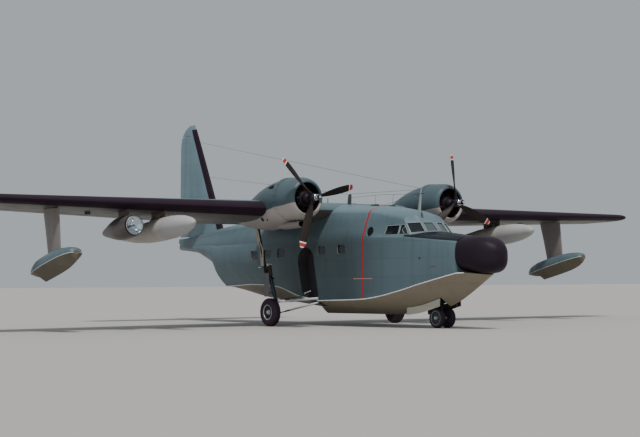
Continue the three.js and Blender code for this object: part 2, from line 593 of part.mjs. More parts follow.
// Nose gear doors hang open from the edges of the bay: columns x, upper edge, lower edge
const NOSE_DOOR_ROWS = [[1520, 630, 400], [2200, 718, 480], [3130, 935, 690]];

const noseDoor = () => loft(NOSE_DOOR_ROWS.map(([x, high, low]) => [
  spot(x, 415, high), spot(x, 440, high), spot(x, 455, low), spot(x, 430, low)]));

// Cabin windows: columns x and z of the middle
const CABIN_WINDOWS = [[-6370, 2478], [-5470, 2500], [-4575, 2520], [-2080, 2560], [-990, 2572]];
const WINDOW = { width: 440, height: 300 };
const ROUND_WINDOW = { x: 450, z: 3105, radius: 150 };
const COCKPIT = { floor: 1950, sill: 2930, rear: -60, front: 2560 };
const CABIN = { floor: 1500, rear: -8300, front: -200, ceiling: 3460 };
// The door hangs on its front edge. Its rear edge swings out past the frame, so it is a thin lip there.
const DOOR = { front: -7050, rear: -7950, sill: 1650, top: 2900, lip: 16, lipLength: 30, rearGap: 18 };
const WELL = { x: -3025, z: 2195, radius: 480, depth: 420, outer: 1400 };
// The leg's slot below the well leans forward: columns rear x, front x, z
const SLOT_ROWS = [[-3505, -2545, WELL.z], [-3280, WELL_FRONT, 950], [-3280, WELL_FRONT, 560]];
const NOSE_BAY = { rear: 1500, front: 3150, half: 400, top: 1500 };

function wheelWell(side, grow) {
  const inner = 1195 - WELL.depth - grow;
  const [low, high] = [inner, WELL.outer].map((y) => spot(WELL.x, side * y, WELL.z));
  const drum = rod(low, high, WELL.radius + grow, 28);
  const corner = (x, z) => [x, z < WELL.z ? z - grow : z];
  const outline = [...SLOT_ROWS.map(([rear, , z]) => corner(rear - grow, z)),
    ...[...SLOT_ROWS].reverse().map(([, front, z]) => corner(front + grow, z))];
  const slot = loft([inner, WELL.outer].map((y) => outline.map(([x, z]) => spot(x, side * y, z))));
  return drum.add(slot);
}

function cabinSpace() {
  const shell = hullLoft(HULL_WALL);
  const rooms = [
    block([CABIN.rear, CABIN.front], [-1300, 1300], [CABIN.floor, CABIN.ceiling]),
    block([-12500, CABIN.rear + 1], [-1300, 1300], [2050, 3600]),
    block([COCKPIT.rear, COCKPIT.front], [-1300, 1300], [COCKPIT.floor, 4300]),
    block([CABIN.front - 1, COCKPIT.rear + 1], [-330, 330], [COCKPIT.floor, 3600]),
  ];
  const wells = join(wheelWell(1, 50), wheelWell(-1, 50));
  return shell.intersect(join(...rooms)).subtract(wells);
}

function sideWindows() {
  const [half, rise] = [WINDOW.width / 2, WINDOW.height / 2];
  const squares = CABIN_WINDOWS.flatMap(([x, z]) => [-1, 1].map((side) => block([x - half, x + half],
    side > 0 ? [700, 1400] : [-1400, -700], [z - rise, z + rise])));
  const w = ROUND_WINDOW;
  const round = rod(spot(w.x, -1400, w.z), spot(w.x, 1400, w.z), w.radius, 20);
  return join(...squares, round);
}

const doorBox = (grow, rearGrow) => block([DOOR.rear - rearGrow, DOOR.front + grow], [600, 1400],
  [DOOR.sill - grow, DOOR.top + grow]);

// Side panes of the cockpit: corners as [x, z], the last pane's front edge leaning with the screen
const SIDE_PANES = [[[1150, 2970], [1760, 2970], [1760, 3275], [1190, 3268]],
  [[1810, 2970], [2235, 2970], [1965, 3290], [1810, 3280]]];
// Flat panes of the windscreen: the plane, then corners as [distance from the middle, z]
const SCREEN_PANES = [['front', [[50, 3080], [425, 3045], [400, 3350], [75, 3350]]],
  ['quarter', [[500, 3045], [870, 3010], [820, 3330], [470, 3350]]]];

// A pane's cutter runs from inside the skin to outside it, squarely to the glass
const PANE_REACH = [-200, 120];

function paneCutter([name, corners], side) {
  const plane = SCREEN_PLANES[name];
  const out = spot(1, side * plane.fallY, plane.fallZ).normalize();
  const moved = (far) => corners.map(([y, z]) => onScreen(plane, side * y, z).addScaledVector(out, far));
  return loft(PANE_REACH.map(moved));
}

function cockpitWindows() {
  const across = (corners) => loft([-1400, 1400].map((y) => corners.map(([x, z]) => spot(x, y, z))));
  const screens = [-1, 1].flatMap((side) => SCREEN_PANES.map((pane) => paneCutter(pane, side)));
  return join(...SIDE_PANES.map(across), ...screens);
}

const ROOF_ZONE = [[-20, 2745], [-1300, 1300], [COCKPIT.sill, 4400]];
const growZone = (zone, grow) => zone.map(([a, b]) => [a - grow, b + grow]);

function buildHull(wingGrown, outer) {
  const bay = block([NOSE_BAY.rear, NOSE_BAY.front], [-NOSE_BAY.half, NOSE_BAY.half], [300, NOSE_BAY.top]);
  const cutters = [cabinSpace(), wheelWell(1, 0), wheelWell(-1, 0), bay, sideWindows(),
    doorBox(MOVING_GAP, DOOR.rearGap), block(...growZone(ROOF_ZONE, GAP)), wingGrown];
  return cutters.reduce((left, cutter) => left.subtract(cutter), outer);
}

function cockpitRoof(outer) {
  return outer.intersect(block(...ROOF_ZONE)).subtract(hullLoft(ROOF_WALL)).subtract(cockpitWindows())
    .subtract(rod(spot(ROUND_WINDOW.x, -1400, ROUND_WINDOW.z), spot(ROUND_WINDOW.x, 1400, ROUND_WINDOW.z),
      ROUND_WINDOW.radius, 20));
}

function cockpitGlass() {
  const zone = block([1020, 2700], [-1300, 1300], [COCKPIT.sill + 5, 3400]);
  return hullLoft(ROOF_WALL + GAP).intersect(zone).subtract(hullLoft(ROOF_WALL + GAP + GLASS_THICK));
}

function radome() {
  // columns x, half width, middle height, half height
  const rows = [[4162, 690, 2312, 540], [4500, 680, 2300, 555], [4850, 630, 2268, 566],
    [5150, 520, 2233, 522], [5380, 360, 2212, 398], [5510, 200, 2225, 215], [5560, 60, 2220, 65]];
  const power = 2 / 2.7;
  return loft(rows.map(([x, half, z, up]) => Array.from({ length: 28 }, (_, k) => {
    const turn = 2 * Math.PI * k / 28;
    const round = (v) => Math.sign(v) * Math.abs(v) ** power;
    return spot(x, half * round(Math.cos(turn)), z + up * round(Math.sin(turn)));
  })));
}

function seat(side) {
  const y = side * 480;
  const cushion = block([900, 1350], [y - 240, y + 240], [2250, 2380]);
  const back = block([860, 980], [y - 240, y + 240], [2370, 3020]);
  return join(cushion, back, block([980, 1280], [y - 180, y + 180], [COCKPIT.floor + GAP, 2260]));
}

function instrumentPanel() {
  const pedestal = block([1980, 2300], [-300, 300], [COCKPIT.floor + GAP, 2510]);
  return join(block([1980, 2080], [-850, 850], [2500, 2960]), pedestal);
}

// The mast tapers, but its hole in the roof is straight and a little wider
const MAST = { foot: spot(1750, 0, 3600), top: spot(1750, 0, 4490), footRadius: 22, topRadius: 12 };
const mast = () => rod(MAST.foot, MAST.top, MAST.footRadius, 10, MAST.topRadius);
const mastHole = () => rod(MAST.foot, MAST.top, MAST.footRadius + 1, 10);

// Assembly

const group = new THREE.Group();
group.position.set(FORWARD, 0, 0);

function add(name, part, paint, mirror = false) {
  let geometry = geometryOf(part);
  if (mirror) {
    geometry.scale(1, -1, 1);
    const index = geometry.getIndex().array;
    for (let k = 0; k < index.length; k += 3) [index[k], index[k + 1]] = [index[k + 1], index[k]];
  }
  const mesh = new THREE.Mesh(geometry, new THREE.MeshStandardMaterial(paint));
  mesh.name = name;
  group.add(mesh);
}

function addPair(name, part, paint) {
  add(`${name}_left`, part, paint);
  add(`${name}_right`, part, paint, true);
}

const hullOuter = hullLoft(0);
const hullGrown = hullLoft(-GAP);
const centreYs = [-WING.rootY, WING.rootY];
const wingCentreGrown = wingLoft(centreYs, GAP);

const hull = buildHull(wingCentreGrown, hullOuter);
add('hull', hull, PAINT.seaGrey);
add('cockpit_roof', cockpitRoof(hullOuter).subtract(mastHole()), PAINT.seaGrey);
add('cockpit_glass', cockpitGlass(), PAINT.glass);
add('seat_left', seat(1), PAINT.cabin);
add('seat_right', seat(-1), PAINT.cabin);
add('instrument_panel', instrumentPanel(), PAINT.black);
add('radome', radome().subtract(hullGrown), PAINT.black);
add('antenna_mast', mast(), PAINT.metal);
const behindLip = hullLoft(DOOR.lip).intersect(block([DOOR.rear - 1, DOOR.rear + DOOR.lipLength],
  [600, 1400], [DOOR.sill - 1, DOOR.top + 1]));
const door = hullOuter.intersect(doorBox(0, 0)).subtract(hullLoft(HULL_WALL)).subtract(behindLip);
add('cabin_door', door, PAINT.seaGrey);

const hoistPads = [-1, 1].map((side) => rod(spot(HOIST_PAD.x, side * HOIST_PAD.y, HOIST_PAD.foot),
  spot(HOIST_PAD.x, side * HOIST_PAD.y, HOIST_PAD.z), HOIST_PAD.radius, 16));
add('wing_centre', join(wingLoft(centreYs), ...hoistPads), PAINT.seaGrey);
const panel = wingPanel();
addPair('wing_panel', panel.panel, PAINT.seaGrey);
addPair('flap', panel.flap, PAINT.seaGrey);
addPair('aileron', panel.aileron, PAINT.seaGrey);

addPair('nacelle', nacelle(wingCentreGrown), PAINT.seaGrey);
addPair('cowling', cowling(), PAINT.seaGrey);
addPair('engine', engine(), PAINT.metal);
add('propeller_left', propeller(ENGINE_Y, -0.11), PAINT.black);
add('propeller_right', propeller(-ENGINE_Y, -0.77), PAINT.black);

const tailFin = finAndRudder(hullGrown);
add('fin', tailFin.fin, PAINT.seaGrey);
add('rudder', tailFin.rudder, PAINT.seaGrey);
const halfTail = tailHalf(finLoft(GAP));
addPair('tailplane', halfTail.tail, PAINT.seaGrey);
addPair('elevator', halfTail.elevator, PAINT.seaGrey);

const wingPanelGrown = wingLoft(PANEL_YS, GAP);
const boatFloat = floatLoft();
const floatPylon = strut([[2300, -2450, -3300, 80], [3900, -2600, -3720, 85]], FLOAT.y)
  .subtract(wingPanelGrown).subtract(floatLoft(GAP));
addPair('float', boatFloat, PAINT.underside);
addPair('float_pylon', largest(floatPylon), PAINT.underside);
addPair('drop_tank', dropTank(wingPanelGrown), PAINT.underside);
add('searchlight_pod', searchlightPod(wingPanelGrown), PAINT.underside, true);
add('searchlight_glass', lampPart(LENS_PROFILE), PAINT.lamp, true);

addPair('main_gear', mainGear(), PAINT.metal);
addPair('main_tyre', tyre(MAIN_WHEEL, MAIN_BORE, 24), PAINT.rubber);
addPair('main_rim', rim(MAIN_WHEEL, MAIN_BORE, 24), PAINT.metal);
add('nose_leg', noseLeg(hull), PAINT.metal);
add('nose_fork', noseFork(), PAINT.metal);
addPair('nose_tyre', tyre(NOSE_WHEEL, NOSE_BORE, 20), PAINT.rubber);
addPair('nose_rim', rim(NOSE_WHEEL, NOSE_BORE, 20), PAINT.metal);
addPair('nose_door', noseDoor(), PAINT.underside);

export default group;
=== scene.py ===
# %% [markdown]
# An amphibious flying boat on its wheels
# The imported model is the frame: it gives every place and size in metres, and names the bodies that
# move. Each step below says what a piece or finish is on the real aircraft, and then makes it.

# %% Load the frame
import math
from types import SimpleNamespace as Sizes

import bmesh
import bpy
import numpy as np
from mathutils import Matrix, Vector
from mathutils.bvhtree import BVHTree


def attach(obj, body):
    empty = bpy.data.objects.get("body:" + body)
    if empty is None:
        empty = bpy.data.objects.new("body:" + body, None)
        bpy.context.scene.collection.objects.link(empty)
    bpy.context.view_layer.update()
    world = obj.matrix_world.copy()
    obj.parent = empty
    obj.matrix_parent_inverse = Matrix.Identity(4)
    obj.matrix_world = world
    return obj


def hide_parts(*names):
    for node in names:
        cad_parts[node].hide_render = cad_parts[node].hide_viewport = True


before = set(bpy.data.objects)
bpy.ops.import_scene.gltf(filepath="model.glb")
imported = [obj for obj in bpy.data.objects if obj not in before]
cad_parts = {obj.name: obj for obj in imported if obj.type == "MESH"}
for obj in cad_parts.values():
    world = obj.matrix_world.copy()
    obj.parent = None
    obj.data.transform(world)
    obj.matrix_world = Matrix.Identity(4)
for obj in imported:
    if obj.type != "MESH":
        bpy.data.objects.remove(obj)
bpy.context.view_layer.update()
scene = bpy.context.scene

# %% [markdown]
# The camera stands low, ahead of the starboard wing, with a long lens. Its place was found by
# fitting the known span, height and wheel track to the picture. The lens follows from the focal
# length in pixels.

# %% Camera
PICTURE = Sizes(width=640, focal=1427.27, farthest=3000)
EYE = Vector((41.15, -29.541, 1.387))
YAW, PITCH, ROLL = math.radians(35.813), math.radians(2.661), math.radians(-0.387)
ahead = Vector((-math.cos(YAW) * math.cos(PITCH), math.sin(YAW) * math.cos(PITCH), math.sin(PITCH)))
level = Vector((math.sin(YAW), math.cos(YAW), 0))
upright = level.cross(ahead)
right = level * math.cos(ROLL) + upright * math.sin(ROLL)
up = upright * math.cos(ROLL) - level * math.sin(ROLL)
camera = bpy.data.objects.new("camera", bpy.data.cameras.new("camera"))
scene.collection.objects.link(camera)
camera.matrix_world = Matrix((right, up, -ahead)).transposed().to_4x4()
camera.location = EYE
camera.data.lens = camera.data.sensor_width * PICTURE.focal / PICTURE.width
camera.data.clip_end = PICTURE.farthest
scene.camera = camera
print(f"lens {camera.data.lens:.1f} mm, eye {EYE.z:.2f} m above the floor")

# %% [markdown]
# A long, low view needs a floor that runs to the horizon, so the floor is a wide disc and the sky
# is an even pale light. One broad lamp stands for the high sun, and a weaker one fills the side
# that we see.

# %% Floor and light
FLOOR_RADIUS, FLOOR_SIDES = 1500, 64
SKY = Sizes(colour=(0.62, 0.68, 0.73, 1), strength=0.66)


def turns(sides):
    """Even angles round a circle"""
    return np.linspace(0, math.tau, sides + 1)[:-1]


def plain_material(name, colour, rough=0.5, metal=0.0):
    """A material with its Principled shader, which is returned as well"""
    made = bpy.data.materials.new(name)
    made.use_nodes = True
    shader = made.node_tree.nodes["Principled BSDF"]
    shader.inputs["Base Color"].default_value = (*colour, 1)
    shader.inputs["Roughness"].default_value = rough
    shader.inputs["Metallic"].default_value = metal
    return made, shader


floor_mesh = bpy.data.meshes.new("floor")
edge = [(FLOOR_RADIUS * math.cos(t), FLOOR_RADIUS * math.sin(t), 0) for t in turns(FLOOR_SIDES)]
floor_mesh.from_pydata(edge, [], [range(FLOOR_SIDES)])
floor = bpy.data.objects.new("floor", floor_mesh)
scene.collection.objects.link(floor)
floor_mesh.materials.append(plain_material("floor", (0.43, 0.41, 0.39), rough=0.9)[0])

world = bpy.data.worlds.new("sky")
world.use_nodes = True
world.node_tree.nodes["Background"].inputs["Color"].default_value = SKY.colour
world.node_tree.nodes["Background"].inputs["Strength"].default_value = SKY.strength
scene.world = world


def sun(name, azimuth, height, power, spread, colour=(1, 1, 1)):
    """A far lamp. Azimuth from the nose towards port, and height from the floor, in degrees"""
    lamp = bpy.data.objects.new(name, bpy.data.lights.new(name, "SUN"))
    a, h = math.radians(azimuth), math.radians(height)
    from_there = Vector((math.cos(a) * math.cos(h), math.sin(a) * math.cos(h), math.sin(h)))
    lamp.rotation_euler = from_there.to_track_quat("Z", "Y").to_euler()
    lamp.data.energy, lamp.data.angle, lamp.data.color = power, math.radians(spread), colour
    scene.collection.objects.link(lamp)


sun("high_sun", -25, 62, power=2.9, spread=8, colour=(1, 0.97, 0.92))
sun("side_fill", -70, 18, power=0.35, spread=60, colour=(0.9, 0.95, 1))
print("floor, sky and two lamps")

# %% [markdown]
# Shapes here are written as they are on the drawing: millimetres, x forward from the propellers'
# plane, y to port and z up from the ground. These helpers turn such points into meshes in the
# frame's metres. A skin over a row of rings suits a boat hull and a wing, because each is drawn as
# sections.

# %% Helpers for solids
FORWARD, MERGE = 4040, 1e-5


def station(x):
    """Metres ahead of the propellers' plane, as a place in the frame"""
    return x + FORWARD / 1000


def metres(p):
    return ((p[0] + FORWARD) / 1000, p[1] / 1000, p[2] / 1000)


def mesh_piece(name, points, faces):
    """A closed mesh whose faces point outwards"""
    mesh = bpy.data.meshes.new(name)
    mesh.from_pydata([metres(p) for p in points], [], faces)
    made = bmesh.new()
    made.from_mesh(mesh)
    bmesh.ops.remove_doubles(made, verts=made.verts, dist=MERGE)
    if made.calc_volume(signed=True) < 0:
        bmesh.ops.reverse_faces(made, faces=made.faces)
    made.to_mesh(mesh)
    made.free()
    piece = bpy.data.objects.new(name, mesh)
    scene.collection.objects.link(piece)
    return piece


def loft(name, rings):
    """A skin over rings with equal numbers of points, with a face over each end"""
    count = len(rings[0])
    faces = [(r * count + k, r * count + (k + 1) % count, (r + 1) * count + (k + 1) % count,
        (r + 1) * count + k) for r in range(len(rings) - 1) for k in range(count)]
    last = (len(rings) - 1) * count
    faces += [tuple(reversed(range(count))), tuple(range(last, last + count))]
    return mesh_piece(name, [p for ring in rings for p in ring], faces)


def block(name, xs, ys, zs):
    return loft(name, [[(x, ys[0], zs[0]), (x, ys[1], zs[0]), (x, ys[1], zs[1]), (x, ys[0], zs[1])]
        for x in xs])


print("points, skins and blocks")


# %% Turned pieces and bars
def lathe(name, profile, axis, centre, sides=48):
    """(radius, distance along the axis) turned round x, y or z. A closed profile makes a ring"""
    order = {"x": (2, 0, 1), "y": (1, 2, 0), "z": (0, 1, 2)}[axis]
    closed = profile[0] == profile[-1]
    outline = profile[:-1] if closed else profile
    points, faces = [], []
    for radius, along in outline:
        for k in range(sides):
            turn = math.tau * k / sides
            local = (radius * math.cos(turn), radius * math.sin(turn), along)
            points.append([centre[i] + local[order[i]] for i in range(3)])
    rows = len(outline)
    for r in range(rows if closed else rows - 1):
        low, high = r * sides, (r + 1) % rows * sides
        faces += [(low + k, low + (k + 1) % sides, high + (k + 1) % sides, high + k)
            for k in range(sides)]
    if not closed:
        faces += [tuple(reversed(range(sides))), tuple(range((rows - 1) * sides, rows * sides))]
    return mesh_piece(name, points, faces)


def tube(name, path, radius, sides=12, closed=False):
    """A round bar along a path. The radius is one value, or one for each point"""
    spots = [Vector(p) for p in path]
    radii = [float(r) for r in (radius if isinstance(radius, (list, tuple))
        else [radius] * len(spots))]
    count = len(spots)
    rings, side = [], None
    for k, spot in enumerate(spots):
        before = spots[(k - 1) % count] if closed or k else spot
        after = spots[(k + 1) % count] if closed or k < count - 1 else spot
        along = (after - before).normalized()
        if side is None:
            side = along.orthogonal().normalized()
        side = (side - along * side.dot(along)).normalized()
        other = along.cross(side)
        rings.append([spot + radii[k] * (side * math.cos(t) + other * math.sin(t))
            for t in turns(sides)])
    if not closed:
        return loft(name, rings)
    points = [p for ring in rings for p in ring]
    faces = [(r * sides + k, r * sides + (k + 1) % sides, (r + 1) % count * sides + (k + 1) % sides,
        (r + 1) % count * sides + k) for r in range(count) for k in range(sides)]
    return mesh_piece(name, points, faces)


print("turned pieces and bars")


# %% Cut, join and copy
def delete(*pieces):
    for piece in pieces:
        bpy.data.objects.remove(piece)


def baked(piece):
    """Turns what the modifiers give into the piece's own mesh"""
    bpy.context.view_layer.update()
    shown = piece.evaluated_get(bpy.context.evaluated_depsgraph_get())
    mesh = bpy.data.meshes.new_from_object(shown)
    piece.modifiers.clear()
    piece.data = mesh
    return piece


def carve(piece, how, *tools, keep=False):
    """Boolean of a piece with closed tools: DIFFERENCE, UNION or INTERSECT"""
    for tool in tools:
        cut = piece.modifiers.new("cut", "BOOLEAN")
        cut.operation, cut.solver, cut.object = how, "MANIFOLD", tool
    baked(piece)
    if not keep:
        delete(*tools)
    return piece


def joined(name, *pieces):
    """Several pieces as one object, each with its own materials"""
    with bpy.context.temp_override(active_object=pieces[0], selected_editable_objects=list(pieces)):
        bpy.ops.object.join()
    pieces[0].name = name
    return pieces[0]


def copied(piece, name, mirror=False):
    """A copy, or the twin on the other side of the aircraft"""
    twin = piece.copy()
    twin.data = piece.data.copy()
    twin.name = name
    scene.collection.objects.link(twin)
    if mirror:
        twin.data.transform(Matrix.Diagonal((1, -1, 1, 1)))
        twin.data.flip_normals()
    return twin


print("cut, join and copy")


# %% Give faces their paint and a piece its body
def painted(piece, *materials, choose=None):
    """Gives the materials. choose(centre, normal), in drawing millimetres, picks one for a face"""
    mesh = piece.data
    mesh.materials.clear()
    for coat in materials:
        mesh.materials.append(coat)
    for face in mesh.polygons:
        c = face.center
        face.material_index = choose((c.x * 1000 - FORWARD, c.y * 1000, c.z * 1000),
            face.normal) if choose else 0
    return piece


def dressed(piece, body, *replaced, crease=28):
    """Smooth shading with creases. The piece rides on its body in place of the CAD nodes"""
    mesh = piece.data
    made = bmesh.new()
    made.from_mesh(mesh)
    for line in made.edges:
        line.smooth = line.calc_face_angle(0) < math.radians(crease)
    for face in made.faces:
        face.smooth = True
    made.to_mesh(mesh)
    made.free()
    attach(piece, body)
    if replaced:
        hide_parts(*replaced)
    return piece


def lerp(a, b, t):
    return a + (b - a) * t


# %% [markdown]
# Paint on an aircraft is never one colour. Each sheet has faded a little differently, the seams
# between sheets hold dirt, and rain has drawn streaks down the sides. One function makes all the
# paints. It lays a grid of sheets over the piece, seen from the side for a hull and from above for
# a wing, and mixes in noise.

# %% Paint
WEAR = Sizes(seam=0.74, seam_soft=0.3, dark=0.6, pale=1.35, lift=0.01, cloud_size=0.7, cloud=0.5,
    run_size=3.0, run_stretch=(1.6, 1.6, 0.12), run_detail=6.0, run_gain=8, run_most=0.8,
    speck_size=9.0, speck_detail=8.0, speck_from=0.69, speck=0.35, gloss_size=2.2, gloss=0.25,
    gloss_drop=0.12, dent_size=1.1, dent=0.9, relief=0.006)
LAYS = {"side": (math.pi / 2, 0, 0), "top": (0, 0, 0), "front": (math.pi / 2, 0, math.pi / 2)}


def shaded(colour, share):
    return tuple(c * share for c in colour)


def link(coat, source, target):
    coat.node_tree.links.new(source, target)


def node(coat, kind, **inputs):
    made = coat.node_tree.nodes.new(kind)
    for name, value in inputs.items():
        made.inputs[name.replace("_", " ")].default_value = value
    return made


def object_point(coat, turn=(0, 0, 0), scale=(1, 1, 1)):
    """Object coordinates in metres, turned and stretched"""
    place = node(coat, "ShaderNodeTexCoord")
    mapping = node(coat, "ShaderNodeMapping")
    mapping.inputs["Rotation"].default_value = turn
    mapping.inputs["Scale"].default_value = scale
    link(coat, place.outputs["Object"], mapping.inputs["Vector"])
    return mapping.outputs["Vector"]


def mix(coat, factor, first, second, how="MIX"):
    """Mixes two colours. Each of the three may be a socket or a value"""
    made = node(coat, "ShaderNodeMix")
    made.data_type, made.blend_type = "RGBA", how
    for socket, value in ((made.inputs[0], factor), (made.inputs[6], first),
            (made.inputs[7], second)):
        if isinstance(value, bpy.types.NodeSocket):
            link(coat, value, socket)
        else:
            socket.default_value = (*value, 1) if isinstance(value, tuple) else value
    return made.outputs[2]


def number(coat, how, *values):
    made = node(coat, "ShaderNodeMath")
    made.operation = how
    for socket, value in zip(made.inputs, values):
        if isinstance(value, bpy.types.NodeSocket):
            link(coat, value, socket)
        else:
            socket.default_value = value
    return made.outputs[0]


def noise(coat, scale, stretch=(1, 1, 1), detail=4.0):
    made = node(coat, "ShaderNodeTexNoise", Scale=scale, Detail=detail)
    link(coat, object_point(coat, scale=stretch), made.inputs["Vector"])
    return made.outputs["Fac"]


def relief(coat, shader, height, distance, strength=0.5):
    made = node(coat, "ShaderNodeBump", Strength=strength, Distance=distance)
    link(coat, height, made.inputs["Height"])
    link(coat, made.outputs["Normal"], shader.inputs["Normal"])


print("lays:", ", ".join(LAYS))


# %% One function for all the paints
def paint(name, colour, lay="side", sheet=(1.1, 0.55), rough=0.42, fade=0.06, streaks=0.16,
        seam=0.005, marks=None, shine=0.25):
    """Aircraft paint over sheets. marks(coat, colour socket) may lay stripes over it"""
    coat, shader = plain_material(name, colour, rough)
    shader.inputs["Specular IOR Level"].default_value = shine
    sheets = node(coat, "ShaderNodeTexBrick", Scale=1.0, Brick_Width=sheet[0], Row_Height=sheet[1],
        Mortar_Size=seam, Mortar_Smooth=WEAR.seam_soft, Bias=0.0)
    sheets.offset, sheets.squash = 0.5, 1.0
    for socket, shade in (("Color1", 1 - fade), ("Color2", 1 + fade), ("Mortar", WEAR.seam)):
        sheets.inputs[socket].default_value = (*(min(1, c * shade) for c in colour), 1)
    link(coat, object_point(coat, LAYS[lay]), sheets.inputs["Vector"])
    dark = shaded(colour, WEAR.dark)
    pale = tuple(min(1, c * WEAR.pale + WEAR.lift) for c in colour)
    clouds = number(coat, "MULTIPLY", noise(coat, WEAR.cloud_size), WEAR.cloud)
    tone = mix(coat, clouds, sheets.outputs["Color"], pale)
    run = noise(coat, WEAR.run_size, WEAR.run_stretch, WEAR.run_detail)
    run = number(coat, "SUBTRACT", run, 0.5)
    run = number(coat, "MULTIPLY", number(coat, "MAXIMUM", run, 0.0), streaks * WEAR.run_gain)
    tone = mix(coat, number(coat, "MINIMUM", run, WEAR.run_most), tone, dark)
    speck = noise(coat, WEAR.speck_size, detail=WEAR.speck_detail)
    speck = number(coat, "GREATER_THAN", speck, WEAR.speck_from)
    tone = mix(coat, number(coat, "MULTIPLY", speck, WEAR.speck), tone, pale)
    if marks:
        tone = marks(coat, tone)
    link(coat, tone, shader.inputs["Base Color"])
    gloss = number(coat, "MULTIPLY_ADD", noise(coat, WEAR.gloss_size), WEAR.gloss,
        rough - WEAR.gloss_drop)
    link(coat, gloss, shader.inputs["Roughness"])
    dents = number(coat, "MULTIPLY", noise(coat, WEAR.dent_size), WEAR.dent)
    depth = number(coat, "MULTIPLY_ADD", sheets.outputs["Fac"], -1.0, dents)
    relief(coat, shader, depth, WEAR.relief)
    return coat


SEA_GREY = (0.087, 0.132, 0.153)
SAND_GREY = (0.235, 0.205, 0.150)
ROSE_GREY = (0.35, 0.315, 0.30)
NIGHT = (0.014, 0.007, 0.015)
STRIPE_RED = (0.42, 0.012, 0.015)
print("five base colours")

# %% [markdown]
# A red line on the hull warns of the propellers' plane. It runs from the chine over the top, with a
# small cross bar low on the side. The deck ahead of the windscreen is dark, so that it doesn't
# dazzle the pilots. All are laid over the paint by their place, as a stencil would be. The shade of
# the wing and engines on the middle of the sides, and light on the crown, are painted the same way.

# %% Hull paints
DECK = Sizes(rear=station(2.08), z=2.895, fall=0.094, sill=2.955, side_end=station(2.26))
DECK_BLACK, DASH_RED, BAR_PINK = (0.0055, 0.008, 0.012), (0.10, 0.035, 0.035), (0.52, 0.20, 0.20)
# Painted shade: SHADE darkens the middle of the hull's sides, low down, where the wing and engines
# cast their shadow
SHADE = Sizes(rear=(station(-6.0), station(-2.6)), front=(station(-0.9), station(1.8)),
    top=(2.6, 3.3), depth=0.54, dark=0.12)
DASH = Sizes(x=station(3.36), z=1.922, half=0.10, thick=0.012)
VENT = Sizes(x=station(2.84), z=2.194, half=0.03)
# Painted light: CROWN_LIGHT makes the hull's crown paler, as the sky lights the top
CROWN_LIGHT = Sizes(low=3.4, high=3.9, share=0.4, pale=2.2)
WARNING_LINE = Sizes(x=station(0.17), half=0.035, bar_z=1.58, bar_half=0.013, bar_reach=0.5)


def band(coat, value, low, high):
    """1 where the value lies between two limits"""
    return number(coat, "MULTIPLY", number(coat, "GREATER_THAN", value, low),
        number(coat, "LESS_THAN", value, high))


def axes_of(coat):
    made = node(coat, "ShaderNodeSeparateXYZ")
    link(coat, object_point(coat), made.inputs[0])
    return made.outputs


def ramp(coat, value, low, high):
    """A smooth rise from 0 to 1 between two limits"""
    made = node(coat, "ShaderNodeMapRange", From_Min=low, From_Max=high)
    made.interpolation_type = "SMOOTHSTEP"
    link(coat, value, made.inputs["Value"])
    return made.outputs["Result"]


def patch(coat, x, z, place, reach, height):
    """1 within a small oblong about a place on the side"""
    return number(coat, "MULTIPLY", band(coat, x, place.x - reach, place.x + reach),
        band(coat, z, place.z - height, place.z + height))


print("bands, ramps and patches")


# %% Marks on the hull
def hull_marks(coat, tone):
    x, _, z = axes_of(coat)
    d, w = DECK, WARNING_LINE
    # Painted shade of the wing and engines over the middle of the sides, fading out towards the top
    painted_wing_shade = number(coat, "MULTIPLY", ramp(coat, x, *SHADE.rear),
        ramp(coat, x, *reversed(SHADE.front)))
    painted_wing_shade = number(coat, "MULTIPLY", painted_wing_shade, ramp(coat, z, *reversed(SHADE.top)))
    tone = mix(coat, number(coat, "MULTIPLY", painted_wing_shade, SHADE.depth), tone,
        shaded(SEA_GREY, SHADE.dark))
    dash = patch(coat, x, z, DASH, DASH.half, DASH.thick)
    tone = mix(coat, dash, tone, DASH_RED)
    vent = patch(coat, x, z, VENT, VENT.half, VENT.half)
    tone = mix(coat, vent, tone, DECK_BLACK)
    # Painted light on the crown
    crown = number(coat, "MULTIPLY", ramp(coat, z, CROWN_LIGHT.low, CROWN_LIGHT.high),
        CROWN_LIGHT.share)
    tone = mix(coat, crown, tone, shaded(SEA_GREY, CROWN_LIGHT.pale))
    edge_z = number(coat, "MULTIPLY_ADD", x, -d.fall, d.z + d.fall * d.rear)
    dark = number(coat, "MULTIPLY", number(coat, "GREATER_THAN", z, edge_z),
        number(coat, "GREATER_THAN", x, d.rear))
    screen = number(coat, "MULTIPLY", number(coat, "GREATER_THAN", z, d.sill),
        number(coat, "LESS_THAN", x, d.side_end))
    tone = mix(coat, number(coat, "SUBTRACT", dark, screen), tone, DECK_BLACK)
    stripe = band(coat, x, w.x - w.half, w.x + w.half)
    bar = number(coat, "MULTIPLY", band(coat, x, w.x - w.bar_reach, w.x + w.bar_reach),
        band(coat, z, w.bar_z - w.bar_half, w.bar_z + w.bar_half))
    tone = mix(coat, stripe, tone, STRIPE_RED)
    return mix(coat, bar, tone, BAR_PINK)


print("deck, warning line, soot and small marks")

# %% Paints of the airframe
hull_top = paint("hull_sea_grey", SEA_GREY, marks=hull_marks)
hull_bottom = paint("hull_sand_grey", SAND_GREY, sheet=(1.3, 0.7), streaks=0.1)
wing_top = paint("wing_sea_grey", SEA_GREY, "top", (0.9, 0.62), streaks=0.0)
# Undersides of wing and tail: real rose grey paint, made much darker as painted shade
underside_rose_and_shade = paint("wing_rose_grey", shaded(ROSE_GREY, 0.22), "top", (0.9, 0.62), streaks=0.05)
boot_black = paint("de_icer_rubber", (0.020, 0.010, 0.019), "top", (4.0, 0.09), rough=0.6,
    fade=0.04, streaks=0.0, seam=0.004, shine=0.1)
